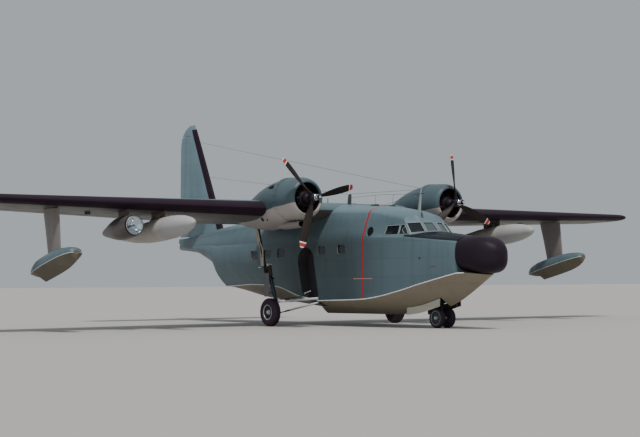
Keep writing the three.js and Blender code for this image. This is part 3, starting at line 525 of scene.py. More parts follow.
# Painted light: the flat planes round the windscreen are the hull's sea grey made paler, as they
# catch more light
screen_grey_painted_light = paint("screen_sea_grey", shaded(SEA_GREY, 1.15), streaks=0.0)
# Painted light: fin and rudder are the hull's sea grey made much paler, as they stand high in the
# light
fin_grey_painted_light = paint("fin_sea_grey", shaded(SEA_GREY, 1.75), "side", (0.7, 0.45))
inside_green = paint("cabin_green", (0.16, 0.18, 0.13), rough=0.7, streaks=0.0)
# Painted shade: the wheel wells, the nose bay and the nose doors' inner faces are near black, for
# the shade inside them
bay_painted_shade = paint("well_grey", (0.05, 0.05, 0.055), rough=0.75, streaks=0.0)
chine_white = paint("chine_white", (0.66, 0.68, 0.70), sheet=(2.0, 1.0), streaks=0.05)
print(len(bpy.data.materials), "materials so far")

# %% [markdown]
# The hull is drawn as sections from the bow's foot to the tail. Each row gives the keel, the hard
# chine, the widest point of the side, the shoulder, the foot of the cockpit side, the eave and the
# crown. The rows between are found with a smooth curve that doesn't overshoot, apart from the
# steps, which stay sharp. The windscreen's flat panes are then cut into the rounded skin above the
# deck: two planes on each side.

# %% Hull sections
HULL_COLUMNS = (
    "x sweep keel_z chine_y chine_z side_y shoulder_y shoulder_z base_y base_z "
    "eave_y eave_z crown_z").split()
HULL_PARTS = [
    [(5000, 0, 1640, 40, 1660, 39, 38, 1662, 36, 1663, 30, 1664, 1665),
     (4750, 0, 1480, 380, 1694, 378, 375, 1697, 350, 1698, 300, 1699, 1700),
     (4430, 0, 1275, 590, 1722, 588, 584, 1731, 550, 1733, 450, 1734, 1735),
     (4160, 0, 1120, 670, 1710, 668, 664, 1745, 600, 1747, 500, 1749, 1750)],
    [(4150, 0, 1115, 672, 1712, 700, 655, 2640, 560, 2745, 380, 2815, 2850),
     (3700, 0, 890, 800, 1605, 832, 790, 2705, 690, 2805, 460, 2880, 2915),
     (3140, 0, 680, 930, 1470, 958, 920, 2775, 810, 2875, 500, 2930, 2995),
     (2750, 0, 600, 1000, 1380, 1020, 985, 2820, 870, 2920, 300, 2990, 3045),
     (2600, 0, 575, 1022, 1345, 1040, 1008, 2835, 890, 2930, 700, 3200, 3330),
     (2380, 0, 535, 1055, 1285, 1068, 1038, 2858, 930, 2935, 770, 3310, 3490),
     (2200, 0, 510, 1080, 1240, 1090, 1060, 2875, 955, 2940, 800, 3350, 3560),
     (2000, 0, 490, 1100, 1195, 1105, 1078, 2885, 975, 2945, 830, 3380, 3628),
     (1700, 0, 468, 1122, 1137, 1123, 1099, 2893, 995, 2950, 850, 3430, 3735),
     (1100, 0, 425, 1165, 1020, 1160, 1140, 2910, 1045, 2955, 885, 3540, 3850),
     (200, 0, 400, 1190, 915, 1185, 1170, 2920, 1120, 3080, 905, 3690, 3975),
     (-600, -100, 400, 1195, 885, 1190, 1180, 2930, 1140, 3130, 950, 3720, 4020),
     (-1700, -500, 400, 1200, 860, 1195, 1188, 2950, 1150, 3170, 980, 3760, 4110),
     (-2300, -1100, 400, 1200, 848, 1196, 1190, 2960, 1152, 3190, 985, 3790, 4160)],
    [(-2310, -1100, 600, 1180, 862, 1196, 1190, 2960, 1152, 3190, 985, 3790, 4160),
     (-3400, -600, 656, 1130, 985, 1190, 1185, 2970, 1150, 3200, 1000, 3680, 4200),
     (-5250, 0, 774, 960, 1350, 1150, 1130, 2980, 1095, 3190, 960, 3540, 4090),
     (-7050, 0, 945, 760, 1420, 1060, 1020, 2990, 980, 3180, 850, 3480, 3900),
     (-8850, 0, 1235, 450, 1372, 925, 860, 2990, 820, 3150, 700, 3400, 3730),
     (-9600, 0, 1350, 290, 1362, 850, 790, 2985, 745, 3135, 630, 3370, 3660)],
    [(-9900, 0, 1905, 330, 2010, 815, 760, 2980, 715, 3125, 600, 3355, 3635),
     (-10800, 0, 2350, 380, 2430, 690, 640, 2965, 600, 3090, 490, 3280, 3540),
     (-11700, 0, 2640, 330, 2700, 520, 490, 2940, 455, 3040, 350, 3280, 3430),
     (-12700, 0, 2765, 220, 2795, 330, 320, 2990, 280, 3120, 235, 3240, 3318),
     (-13640, 0, 2840, 45, 2880, 60, 55, 3060, 50, 3160, 40, 3260, 3300)],
]
RING_STEP = 170
FRONT = Sizes(x=2620, z=3130, y=0, fall_y=0.3041, fall_z=0.9423)
QUARTER = Sizes(x=2540, z=3060, y=480, fall_y=0.7715, fall_z=0.9877)
FRONT_CUT = [(0, 3053, 0, 3050), (500, 3030, 370, 3012)]
QUARTER_CUT = [(483, 3029.5, 350, 3012), (1050, 2927, 1050, 2860)]
SCREEN_TOP, SCREEN_END, INSET_BACK = 4400, 2760, 0.464


print("sections:", sum(len(part) for part in HULL_PARTS))


# %% Rows between the sections
def smooth_rows(rows, step):
    """Rows between given rows, each column on a monotone curve along the first one"""
    table = np.array(sorted(rows), float)
    x, gaps = table[:, 0], np.diff(table[:, 0])[:, None]
    slopes = np.diff(table, axis=0) / gaps
    ends = np.zeros_like(table)
    same = slopes[:-1] * slopes[1:] > 0
    pair = np.where(same, slopes[:-1] + slopes[1:], 1)
    ends[1:-1] = np.where(same, 2 * slopes[:-1] * slopes[1:] / pair, 0)
    ends[0], ends[-1] = slopes[0], slopes[-1]
    made = []
    for k in range(len(x) - 1):
        parts = max(1, round(gaps[k, 0] / step))
        for t in np.arange(parts) / parts:
            h = gaps[k, 0]
            made.append(table[k] * (1 + 2 * t) * (1 - t) ** 2 + table[k + 1] * t * t * (3 - 2 * t)
                + h * ends[k] * t * (1 - t) ** 2 - h * ends[k + 1] * t * t * (1 - t))
    made.append(table[-1])
    return made[::-1]


def rounded(points, share, steps=3):
    """A polyline with its inner corners turned into short arcs"""
    made = [points[0]]
    for before, corner, after in zip(points, points[1:], points[2:]):
        a, c, b = (np.array(p, float) for p in (before, corner, after))
        start, end = c + (a - c) * share, c + (b - c) * share
        made += [tuple((1 - t) ** 2 * start + 2 * t * (1 - t) * c + t * t * end)
            for t in np.linspace(0, 1, steps)]
    return made + [points[-1]]


def through(t, low, middle, high, at):
    """A parabola through three values at 0, at and 1"""
    bend = ((middle - low) - (high - low) * at) / (at * at - at)
    return low + (high - low - bend) * t + bend * t * t


def hull_ring(values, inset=0.0):
    row = Sizes(**dict(zip(HULL_COLUMNS, values)))
    chine_y, chine_z = max(1, row.chine_y - inset), row.chine_z + inset * 0.4
    eave_y, eave_z = max(1, row.eave_y - inset), row.eave_z - inset * 0.5
    crown = row.crown_z - inset
    half = []
    for t in np.linspace(0, 1, 7):
        z = through(t, row.keel_z, lerp(row.keel_z, row.chine_z, 0.42), chine_z - inset,
            0.5) + inset
        half.append((row.x + row.sweep * (1 - t), chine_y * t, z))
    shoulder_y = max(1, row.shoulder_y - inset)
    for t in np.linspace(0.12, 0.9, 7):
        y = through(t, chine_y, max(1, row.side_y - inset), shoulder_y, 0.45)
        half.append((row.x, y, lerp(chine_z, row.shoulder_z, t)))
    half += [(row.x, y, z) for y, z in rounded([
        (shoulder_y, lerp(chine_z, row.shoulder_z, 0.95)), (shoulder_y, row.shoulder_z),
        (max(1, row.base_y - inset), row.base_z), (eave_y, eave_z),
        (eave_y * 0.985, lerp(eave_z, crown, 0.174))], 0.42)]
    half += [(row.x, eave_y * math.cos(a), lerp(eave_z, crown, math.sin(a)))
        for a in np.radians(np.arange(20, 91, 10))]
    half[0], half[-1] = (half[0][0], 0, half[0][2]), (row.x, 0, crown)
    return half + [(x, -y, z) for x, y, z in half[-2:0:-1]]


print("a ring has", len(hull_ring(HULL_PARTS[1][0])), "points")


# %% Skin with the windscreen's flat planes
def on_screen(plane, y, z):
    back = (abs(y) - plane.y) * plane.fall_y + (z - plane.z) * plane.fall_z
    return plane.x - back, y, z


def cut_ring(plane, row, side, inset):
    y, z, top_y, end_z = row
    ring = [on_screen(plane, side * y, z), on_screen(plane, side * top_y, SCREEN_TOP),
        (SCREEN_END, side * top_y, SCREEN_TOP), (SCREEN_END, side * y, end_z)]
    return [(px - INSET_BACK * inset, py, pz - inset) for px, py, pz in ring]


def hull_loft(name, inset=0.0):
    rounded_skin = loft(name, [hull_ring(row, inset) for part in HULL_PARTS
        for row in smooth_rows(part, RING_STEP)])
    middle, edge = FRONT_CUT
    front = [cut_ring(FRONT, edge, -1, inset), cut_ring(FRONT, middle, 1, inset),
        cut_ring(FRONT, edge, 1, inset)]
    cutters = [loft("screen_cut", front)]
    for side in (1, -1):
        cutters.append(loft("screen_cut",
            [cut_ring(QUARTER, row, side, inset) for row in QUARTER_CUT]))
    return carve(rounded_skin, "DIFFERENCE", *cutters)


outer_hull = hull_loft("outer_hull")
print("hull skin:", len(outer_hull.data.polygons), "faces")

# %% [markdown]
# Doorways, windows, wheel wells and the nose bay are cut through the skin, as the frames are on the
# real hull. The cabin inside is the same skin, set in by the wall, and limited to the rooms.

# %% Hull openings
WALL, ROOF_WALL, OUTSIDE = 70, 40, 1400
PORT_REACH, ROOM_REACH = (600, OUTSIDE), (-1300, 1300)
CABIN_WINDOWS = [(-6370, 2478), (-5470, 2500), (-4575, 2520), (-2080, 2560), (-990, 2572)]
WINDOW = Sizes(width=440, height=300, corner=60)
ROUND_WINDOW = Sizes(x=450, z=3105, radius=150)
DOOR = Sizes(front=-7050, rear=-7950, sill=1650, top=2900, gap=8, rear_gap=18)
WELL = Sizes(x=-3025, z=2195, radius=480, depth=420, side=1195, inner=740, reach=(-3570, -2240),
    top=2730, wall=50)
SLOT_ROWS = [(-3505, -2545, WELL.z), (-3280, -2300, 950), (-3280, -2300, 560)]
BAY = Sizes(rear=1500, front=3150, half=400, low=300, top=1500)
ROOMS = {"cabin": ((-8300, -200), ROOM_REACH, (1500, 3460)),
    "tail_room": ((-12500, -8290), ROOM_REACH, (2050, 3500)),
    "cockpit": ((-60, 2560), ROOM_REACH, (1950, 4300)),
    "passage": ((-210, -50), (-330, 330), (1950, 3500))}
SIDES = ((1, "left"), (-1, "right"))


def rounded_outline(x, z, width, height, corner):
    return [(x + sx * (width / 2 - corner) + corner * math.cos(a),
        z + sz * (height / 2 - corner) + corner * math.sin(a))
        for sx, sz, first in ((1, 1, 0), (-1, 1, 90), (-1, -1, 180), (1, -1, 270))
        for a in np.radians(np.linspace(first, first + 90, 5))]


def across_block(name, outline, ys=(-OUTSIDE, OUTSIDE)):
    """A block across the hull, from its outline in side view"""
    return loft(name, [[(x, y, z) for x, z in outline] for y in ys])


def wheel_well(side, grow=0):
    ys = sorted((side * (WELL.side - WELL.depth - grow), side * OUTSIDE))
    drum = lathe("well", [(WELL.radius + grow, y) for y in ys], "y", (WELL.x, 0, WELL.z))
    outline = [(rear - grow, z - grow * (z < WELL.z)) for rear, _, z in SLOT_ROWS]
    outline += [(front + grow, z - grow * (z < WELL.z)) for _, front, z in reversed(SLOT_ROWS)]
    return carve(drum, "UNION", across_block("slot", outline, ys))


rooms, *other_rooms = [block(name, *spans) for name, spans in ROOMS.items()]
carve(rooms, "UNION", *other_rooms)
space = carve(hull_loft("space", WALL), "INTERSECT", rooms)
carve(space, "DIFFERENCE", wheel_well(1, WELL.wall), wheel_well(-1, WELL.wall))
roof_space = carve(hull_loft("roof_space", ROOF_WALL), "INTERSECT",
    block("roof_zone", (-20, 2700), ROOM_REACH, (2930, 4400)))
openings = [across_block("window", rounded_outline(x, z, WINDOW.width, WINDOW.height,
    WINDOW.corner)) for x, z in CABIN_WINDOWS]
openings.append(lathe("port_hole", [(ROUND_WINDOW.radius, y) for y in (-OUTSIDE, OUTSIDE)], "y",
    (ROUND_WINDOW.x, 0, ROUND_WINDOW.z), 32))
doorway_heights = (DOOR.sill - DOOR.gap, DOOR.top + DOOR.gap)
doorway = block("doorway", (DOOR.rear - DOOR.rear_gap, DOOR.front + DOOR.gap), PORT_REACH,
    doorway_heights)
bay = block("bay", (BAY.rear, BAY.front), (-BAY.half, BAY.half), (BAY.low, BAY.top))
print(len(openings), "window cutters, a doorway, a bay and two wells")

# %% [markdown]
# The cockpit's glazing is two panes on each side and a windscreen of four. The posts between the
# panes lean with the screen, so the side panes are drawn as four-cornered outlines rather than
# squares.

# %% Cockpit window cutters
SCREEN_REACH = (-200, 120)
SIDE_PANES = [((1150, 2970), (1760, 2970), (1760, 3275), (1190, 3268)),
    ((1810, 2970), (2235, 2970), (1965, 3290), (1810, 3280))]
SCREEN_PANES = [(FRONT, ((50, 3080), (425, 3045), (400, 3350), (75, 3350))),
    (QUARTER, ((500, 3045), (870, 3010), (820, 3330), (470, 3350)))]


def outward(plane, side):
    return Vector((1, side * plane.fall_y, plane.fall_z)).normalized()


def screen_block(plane, corners, side):
    """A cutter for a flat pane, square to the glass"""
    return loft("screen_pane", [[tuple(Vector(on_screen(plane, side * y, z)) + outward(plane,
        side) * far) for y, z in corners] for far in SCREEN_REACH])


openings += [across_block("side_pane", outline) for outline in SIDE_PANES]
openings += [screen_block(plane, corners, side) for side, _ in SIDES
    for plane, corners in SCREEN_PANES]
print(len(openings), "cutters with the cockpit's")

# %% [markdown]
# The door's front edge swings into the hull as it opens. The skin is a little too full there, so a
# shallow recess along the hinge makes room. Then all the cutters part the skin, and the rooms
# hollow it out.

# %% Cut the hull
HINGE_RECESS = Sizes(front=-6998, face_y=1060, overlap=1)
hinge_recess = block("hinge_recess",
    (DOOR.front + DOOR.gap - HINGE_RECESS.overlap, HINGE_RECESS.front),
    (HINGE_RECESS.face_y, OUTSIDE), doorway_heights)
hull = copied(outer_hull, "hull_skin")
carve(hull, "DIFFERENCE", space, roof_space, wheel_well(1), wheel_well(-1), bay, hinge_recess)
carve(hull, "DIFFERENCE", doorway, *openings, keep=True)
print("hull with openings:", len(hull.data.polygons), "faces")

# %% [markdown]
# After the cuts, a face's paint follows from where it lies. A face on the outer skin is grey above
# the chine and sand below it, up to the second step. A face inside belongs to a well, the bay or
# the cabin.

# %% Paint the hull
skin = BVHTree.FromObject(outer_hull, bpy.context.evaluated_depsgraph_get())
chine_rows = np.array(sorted((row[0], row[4]) for part in HULL_PARTS for row in part))
STEP_X, BOW_FOOT, SKIN_DEPTH = -9600, 4155, 0.012
TAIL_TIP = Sizes(x=-13480, top=3100)
SCREEN_ZONE = Sizes(rear=2000, steep=0.8, flat=0.9995)


def chine_z(x):
    return float(np.interp(x, chine_rows[:, 0], chine_rows[:, 1]))


def inside(c):
    return skin.find_nearest(Vector(metres(c)))[3] > SKIN_DEPTH


def hull_face(c, n):
    if inside(c):
        # Faces in the wells and the bay take the near-black painted shade
        in_well = WELL.reach[0] < c[0] < WELL.reach[1] and abs(c[1]) > WELL.inner
        in_well = in_well and c[2] < WELL.top
        in_bay = BAY.rear - 1 < c[0] < BAY.front + 1 and c[2] <= BAY.top + 1
        return 3 if in_well or in_bay else 2
    facing = max(n.dot(outward(plane, side)) for plane in (FRONT, QUARTER) for side in (1, -1))
    # Faces on the windscreen's flat planes take the paler grey, which is painted light
    if c[0] > SCREEN_ZONE.rear and n.z < SCREEN_ZONE.steep and facing > SCREEN_ZONE.flat:
        return 4
    if c[0] < TAIL_TIP.x and c[2] < TAIL_TIP.top:
        return 5
    return 1 if c[0] > BOW_FOOT or (c[0] > STEP_X and c[2] < chine_z(c[0]) - 1) else 0


painted(hull, hull_top, hull_bottom, inside_green, bay_painted_shade, screen_grey_painted_light, chine_white,
    choose=hull_face)
dressed(hull, "airframe", "hull", "cockpit_roof")
print("hull paints:", len(hull.data.materials))

# %% [markdown]
# The chine carries a white rail, which throws the spray down. It follows the hard corner of the
# sections as a thin bar, half sunk in the skin, from the bow to the second step.

# %% Chine rails
RAIL_FRONT, RAIL_RADIUS, RAIL_SINK = 4440, 17, 2
rail_rows = [row for part in HULL_PARTS[:3] for row in smooth_rows(part, RING_STEP / 2)
    if row[0] < RAIL_FRONT]
rails = [tube("rail", [(row[0], side * (row[3] - RAIL_SINK), row[4]) for row in rail_rows],
    RAIL_RADIUS, 8) for side, _ in SIDES]
chine_rails = painted(joined("chine_rails", *rails), chine_white)
dressed(chine_rails, "airframe")
print("rail points on each side:", len(rail_rows))

# %% [markdown]
# Window glass lies a little inside the skin. It is the skin again, set in twice and cut by the same
# openings, so it fits them exactly. Each opening has a raised frame, which is a bar bent round
# points on the skin.

# %% Glass and frames
glass, shader = plain_material("window_glass", (0.055, 0.07, 0.08), 0.06)
shader.inputs["Transmission Weight"].default_value = 0.8
shader.inputs["IOR"].default_value = 1.45
# Painted reflection: the windscreen's panes are pale grey and let little light through, for the sky
# reflected in them
screen_glass, shader = plain_material("screen_glass", (0.10, 0.125, 0.135), 0.1)
shader.inputs["Transmission Weight"].default_value = 0.25
SLIDING_FRAME = [(2010, 3225), (1905, 3120), (2050, 2995)]
FRAME = Sizes(window=7, pane=9, slide=8, screen=10, round_gap=8, window_gap=6, slide_lift=-6)
PANE = Sizes(outside=24, inside=36, screen_rear=2230, screen_half=450)
FAR_OUT = 2000
frame_metal = paint("window_frame", (0.27, 0.315, 0.335), sheet=(5, 5), rough=0.4, streaks=0.0)
frame_grey = paint("cabin_window_frame", shaded(SEA_GREY, 0.8), sheet=(5, 5), rough=0.4,
    streaks=0.0)


def on_skin(start, direction, lift=0):
    """Where a straight line meets the hull's skin, in drawing millimetres"""
    hit, normal, _, _ = skin.ray_cast(Vector(metres(start)), Vector(direction))
    hit = hit + normal * lift / 1000
    return (hit.x * 1000 - FORWARD, hit.y * 1000, hit.z * 1000)


def along_outline(outline, step=60):
    made = []
    for a, b in zip(outline, outline[1:] + outline[:1]):
        parts = max(1, round(math.dist(a, b) / step))
        made += [tuple(lerp(p, q, k / parts) for p, q in zip(a, b)) for k in range(parts)]
    return made


def side_point(x, z, side, lift=0):
    return on_skin((x, side * FAR_OUT, z), (0, -side, 0), lift)


def side_frame(outline, side, radius):
    return tube("frame", [side_point(x, z, side) for x, z in along_outline(outline)], radius, 8,
        closed=True)


print("glass and frame metals")

# %% Panes and their bars
panes = carve(hull_loft("window_panes", PANE.outside), "DIFFERENCE",
    hull_loft("inner", PANE.inside))
window_tool = openings[0]
carve(window_tool, "UNION", *openings[1:])
carve(panes, "INTERSECT", window_tool)
painted(panes, glass, screen_glass, choose=lambda c, n: int(
    c[0] > PANE.screen_rear and abs(c[1]) < PANE.screen_half))
dressed(panes, "airframe", "cockpit_glass")
frames, dark_frames = [], []
for side, _ in SIDES:
    for x, z in CABIN_WINDOWS:
        outline = rounded_outline(x, z, WINDOW.width + 2 * FRAME.window_gap,
            WINDOW.height + 2 * FRAME.window_gap, WINDOW.corner + FRAME.window_gap)
        dark_frames.append(side_frame(outline, side, FRAME.window))
    reach = ROUND_WINDOW.radius + FRAME.round_gap
    circle = [(ROUND_WINDOW.x + reach * math.cos(a), ROUND_WINDOW.z + reach * math.sin(a))
        for a in turns(24)]
    dark_frames.append(side_frame(circle, side, FRAME.window))
    frames += [side_frame(list(outline), side, FRAME.pane) for outline in SIDE_PANES]
    slide = [side_point(x, z, side, FRAME.slide_lift) for x, z in SLIDING_FRAME]
    frames.append(tube("slide", slide, FRAME.slide, 8))
    for plane, corners in SCREEN_PANES:
        path = [on_screen(plane, side * y, z) for y, z in along_outline(list(corners))]
        frames.append(tube("frame", path, FRAME.screen, 8, closed=True))
print("panes:", len(panes.data.polygons), "faces; frames:", len(frames) + len(dark_frames))
painted(joined("cabin_window_frames", *dark_frames), frame_grey)
dressed(bpy.data.objects["cabin_window_frames"], "airframe")
window_frames = painted(joined("window_frames", *frames), frame_metal)
dressed(window_frames, "airframe")

# %% [markdown]
# The door is the piece of skin that the doorway leaves, with its own wall. It hangs on its front
# edge. Its rear edge is a thin lip, because a thick one would jam in the frame as it swings out.

# %% Cabin door
LIP = Sizes(thick=16, wide=30, over=1)
HANDLE = Sizes(x=-7830, z=2230, length=150, foot=-10, near=32, far=44, radius=11)
door = copied(outer_hull, "door_skin")
carve(door, "INTERSECT", block("door_box", (DOOR.rear, DOOR.front - DOOR.gap), PORT_REACH,
    (DOOR.sill, DOOR.top)))
carve(door, "DIFFERENCE", hull_loft("inner", WALL))
lip_box = block("lip_box", (DOOR.rear - LIP.over, DOOR.rear + LIP.wide), PORT_REACH,
    (DOOR.sill - LIP.over, DOOR.top + LIP.over))
carve(door, "DIFFERENCE", carve(hull_loft("lip", LIP.thick), "INTERSECT", lip_box))
painted(door, hull_top, inside_green, choose=lambda c, n: int(inside(c)))
dressed(door, "cabin_door", "cabin_door")
grip_y = side_point(HANDLE.x, HANDLE.z, 1)[1]
grip = tube("door_handle", [(HANDLE.x, grip_y + HANDLE.foot, HANDLE.z),
    (HANDLE.x, grip_y + HANDLE.near, HANDLE.z),
    (HANDLE.x + HANDLE.length, grip_y + HANDLE.far, HANDLE.z)], HANDLE.radius, 10)
painted(grip, frame_metal)
dressed(grip, "cabin_door")
delete(doorway)
print("door:", len(door.data.polygons), "faces")

# %% [markdown]
# The radome is one black moulding with square-cornered sections that shrink to a blunt nose. A
# superellipse gives such sections from a width and a height.

# %% Radome
radome_black = paint("radome_black", NIGHT, "front", (9, 9), rough=0.5, fade=0.02, streaks=0.05,
    seam=0.0, shine=0.15)
RADOME_ROWS = [(4162, 690, 2312, 540), (4500, 680, 2300, 555), (4850, 630, 2268, 566),
    (5150, 520, 2233, 522), (5380, 360, 2212, 398), (5480, 250, 2211, 282), (5540, 125, 2221, 135),
    (5560, 20, 2220, 24)]
SQUARE = 2 / 2.7


def square_ring(x, half, z, up):
    def power(v):
        return math.copysign(abs(v) ** SQUARE, v)
    return [(x, half * power(math.cos(a)), z + up * power(math.sin(a))) for a in turns(64)]


radome = loft("radome_shell", [square_ring(*row) for row in smooth_rows(RADOME_ROWS, 60)])
painted(radome, radome_black)
dressed(radome, "airframe", "radome", crease=50)
print("radome:", len(radome.data.polygons), "faces")

# %% [markdown]
# A wing is a loft of aerofoil sections. One function gives the section at any distance from the
# centre line, so the boots, hinges and cut-outs all use the same numbers. A strip of even width
# along the leading edge, above and below, is the rubber boot that breaks ice off.

# %% Wing sections
WING = Sizes(half_span=14730, root=3800, tip=14000, lead_root=-1800, lead_tip=-2420,
    chord_root=4050, chord_tip=2200, thick_root=0.165, thick_tip=0.125, plane=3915, rise=120,
    camber=0.02, incidence=0.0873, tip_curve=0.97, tip_lead=0.42)
BOOT, BOOT_WIDTH, BOOT_START, FIN_BOOT, TAIL_BOOT = 0.11, 330, 3600, 290, 210
CONE_SINK = 2
FOIL_SHARES = sorted({*((1 - math.cos(math.pi * k / 20)) / 2 for k in range(21)), BOOT})


def half_thickness(s):
    return 5 * (0.2969 * math.sqrt(s) - 0.126 * s - 0.3516 * s ** 2 + 0.2843 * s ** 3 - 0.1015
        * s ** 4)


def foil_ring(chord, thickness, camber, place, boot=None):
    """place(along, across) puts each point, from the trailing edge over the top and back below.
    One of the points lies where the boot ends."""
    edge = min(0.3, boot / chord) if boot else BOOT

    def point(share, side):
        s = share * edge / BOOT if share < BOOT else edge + (share - BOOT) * (1 - edge) / (1 - BOOT)
        return place(s * chord, side * half_thickness(s) * thickness * chord + camber * chord * 4
            * s * (1 - s))
    return [point(s, 1) for s in reversed(FOIL_SHARES)] + [point(s, -1) for s in FOIL_SHARES[1:-1]]


def wing_at(y):
    w = WING
    share = max(0, (min(y, w.tip) - w.root) / (w.tip - w.root))
    out = max(0, (y - w.tip) / (w.half_span - w.tip))
    curve = math.sqrt(1 - (w.tip_curve * out) ** 2)
    chord = lerp(w.chord_root, w.chord_tip, share)
    lead = lerp(w.lead_root, w.lead_tip, share) - chord * (1 - curve) * w.tip_lead
    return Sizes(chord=chord * curve, lead=lead, thick=lerp(w.thick_root, w.thick_tip, share),
        z=w.plane + w.rise * share)


def wing_ring(y):
    s = wing_at(y)
    return foil_ring(s.chord, s.thick, WING.camber, lambda along, across: (
        s.lead - along, y, s.z - along * WING.incidence + across), BOOT_WIDTH)


def wing_point(y, share, side):
    """A point on the wing's top (side 1) or underside (side -1)"""
    s = wing_at(y)
    along = share * s.chord
    return (s.lead - along, y, s.z - along * WING.incidence + side * half_thickness(share) * s.thick
        * s.chord + WING.camber * s.chord * 4 * share * (1 - share))


def hinge_at(y, share):
    s = wing_at(y)
    return wing_point(y, share, 0), half_thickness(share) * s.thick * s.chord - CONE_SINK


HALF_YS = [0, 1200, 2500, 3600, 3800, 3980, 6400, 8740, 8800, 11400, 13900, 14000, 14150, 14300,
    14430, 14540, 14620, 14680, 14715, 14730]
half_wing = loft("wing_half", [wing_ring(y) for y in HALF_YS])
print("half wing:", len(half_wing.data.polygons), "faces")

# %% [markdown]
# Flaps, ailerons, rudder and elevators are all cut the same way. A slab behind the hinge line parts
# the piece, a row of cones along the hinge makes the surface's round nose, and a slightly larger
# row hollows the cove.

# %% Cut a moving surface
GAPS = Sizes(end=20, cove=16, lip=0.5)
SLAB = Sizes(low=3200, high=4800, length=2500)


def cones(hinge, grow, end_gap):
    spots = [Vector(spot) for spot, _ in hinge]
    radii = [radius + grow for _, radius in hinge]
    spots[0] = spots[0] + (spots[1] - spots[0]).normalized() * end_gap
    spots[-1] = spots[-1] + (spots[-2] - spots[-1]).normalized() * end_gap
    return tube("cones", spots, radii, 32)


def split(whole, name, hinge, behind, ends):
    """Cuts the moving surface out of the whole piece and returns it"""
    moving = copied(whole, name)
    carve(moving, "INTERSECT", behind(ends[0] + GAPS.end, ends[1] - GAPS.end, 0))
    carve(moving, "UNION", cones(hinge, 0, GAPS.end))
    carve(whole, "DIFFERENCE", behind(ends[0], ends[1], GAPS.lip), cones(hinge, GAPS.cove, 0))
    return moving


def behind_wing_hinge(share):
    def slab(y0, y1, lip):
        rings = []
        for y in (y0, y1):
            x, _, z = hinge_at(y, share)[0]
            rings.append([(x + lip * (z - SLAB.low), y, SLAB.low), (x - SLAB.length, y, SLAB.low),
                (x - SLAB.length, y, SLAB.high), (x, y, SLAB.high), (x, y, z)])
        return loft("slab", rings)
    return slab


print("slabs, cones and coves")

# %% Flaps, ailerons and the other wing
SURFACES = {"flap": (3980, 8740, 0.76), "aileron": (8800, 13900, 0.76)}
moving_wing = {}
for name, (start, end, share) in SURFACES.items():
    hinge = [hinge_at(start, share), hinge_at(end, share)]
    moving_wing[name] = split(half_wing, name, hinge, behind_wing_hinge(share), (start, end))
JACK_PAD = Sizes(x=-3400, y=9300, foot=3760, end=3640, radius=90)
HOIST_PAD = Sizes(x=-3000, y=900, foot=4110, end=4250, radius=80)
for pad in (JACK_PAD, HOIST_PAD):
    carve(half_wing, "UNION", tube("pad", [(pad.x, pad.y, pad.foot), (pad.x, pad.y, pad.end)],
        pad.radius, 32))


def wing_face(c, n):
    s = wing_at(min(abs(c[1]), WING.tip))
    if s.lead - c[0] < BOOT_WIDTH and abs(c[1]) > BOOT_START:
        return 2
    return 0 if n.z > 0 else 1


other_half = copied(half_wing, "other_half", mirror=True)
wing = joined("wing_skin", half_wing, other_half)
painted(wing, wing_top, underside_rose_and_shade, boot_black, choose=wing_face)
dressed(wing, "airframe", "wing_centre", "wing_panel_left", "wing_panel_right")
for name, surface in moving_wing.items():
    painted(surface, wing_top, underside_rose_and_shade, choose=lambda c, n: 0 if n.z > 0 else 1)
    twin = copied(surface, f"{name}_skin_right", mirror=True)
    surface.name = f"{name}_skin_left"
    dressed(surface, f"{name}_left", f"{name}_left")
    dressed(twin, f"{name}_right", f"{name}_right")
print("wing, flaps and ailerons")

# %% [markdown]
# Fin and rudder use level sections, and the tailplane upright ones. Their leading edges carry boots
# as well.

# %% Tail
FIN_ROWS = [(3000, -10000, -13600, 165), (4780, -10870, -13590, 145), (6320, -11610, -13555, 105),
    (7000, -11945, -13535, 84), (7360, -12125, -13460, 72), (7600, -12245, -13270, 60),
    (7760, -12325, -13060, 46), (7870, -12420, -12800, 14)]
RUDDER = Sizes(x=-12720, bottom=3330, top=7450, low=2900, gap=130)
TAIL_ROWS = [(60, -10980, 2330, 0.12), (2500, -11300, 1880, 0.11), (4300, -11540, 1520, 0.10),
    (4600, -11640, 1330, 0.09), (4725, -11900, 780, 0.07)]
ELEVATOR = Sizes(x=-12400, start=520, end=4250, z=4450, span=(4000, 4900), gap=60)
AFT, FIN_REACH, FIN_BOOT_TOP, TAIL_BOOT_END = -14000, (-400, 400), 7700, 4600


def fin_ring(z, lead, trail, half):
    return foil_ring(lead - trail, 2 * half / (lead - trail), 0, lambda along,
        across: (lead - along, across, z), FIN_BOOT)


def fin_half(z, x):
    lead, trail, half = (np.interp(z, [row[0] for row in FIN_ROWS], [row[k] for row in FIN_ROWS])
        for k in (1, 2, 3))
    return half_thickness((lead - x) / (lead - trail)) * 2 * half


def tail_ring(y, lead, chord, thick):
    return foil_ring(chord, thick, 0, lambda along, across: (lead - along, y, ELEVATOR.z + across),
        TAIL_BOOT)


print("fin and tail sections:", len(FIN_ROWS), len(TAIL_ROWS))

# %% Fin and rudder
fin_tips = FIN_ROWS[:4] + [tuple(row) for row in reversed(smooth_rows(FIN_ROWS[3:], 90))][1:]
fin = loft("fin_skin", [fin_ring(*row) for row in fin_tips])
carve(fin, "DIFFERENCE", copied(outer_hull, "hull_tool"))
rudder_hinge = [((RUDDER.x, 0, z), fin_half(z, RUDDER.x))
    for z in (RUDDER.bottom, 4780, 6320, 7000, RUDDER.top)]
rudder = split(fin, "rudder_skin", rudder_hinge, lambda z0, z1, lip: block(
    "slab", (AFT, RUDDER.x), FIN_REACH, (z0, z1)), (RUDDER.bottom, RUDDER.top))
carve(fin, "DIFFERENCE", block("stub", (AFT, RUDDER.x - RUDDER.gap), FIN_REACH,
    (RUDDER.low, RUDDER.bottom + 1)))


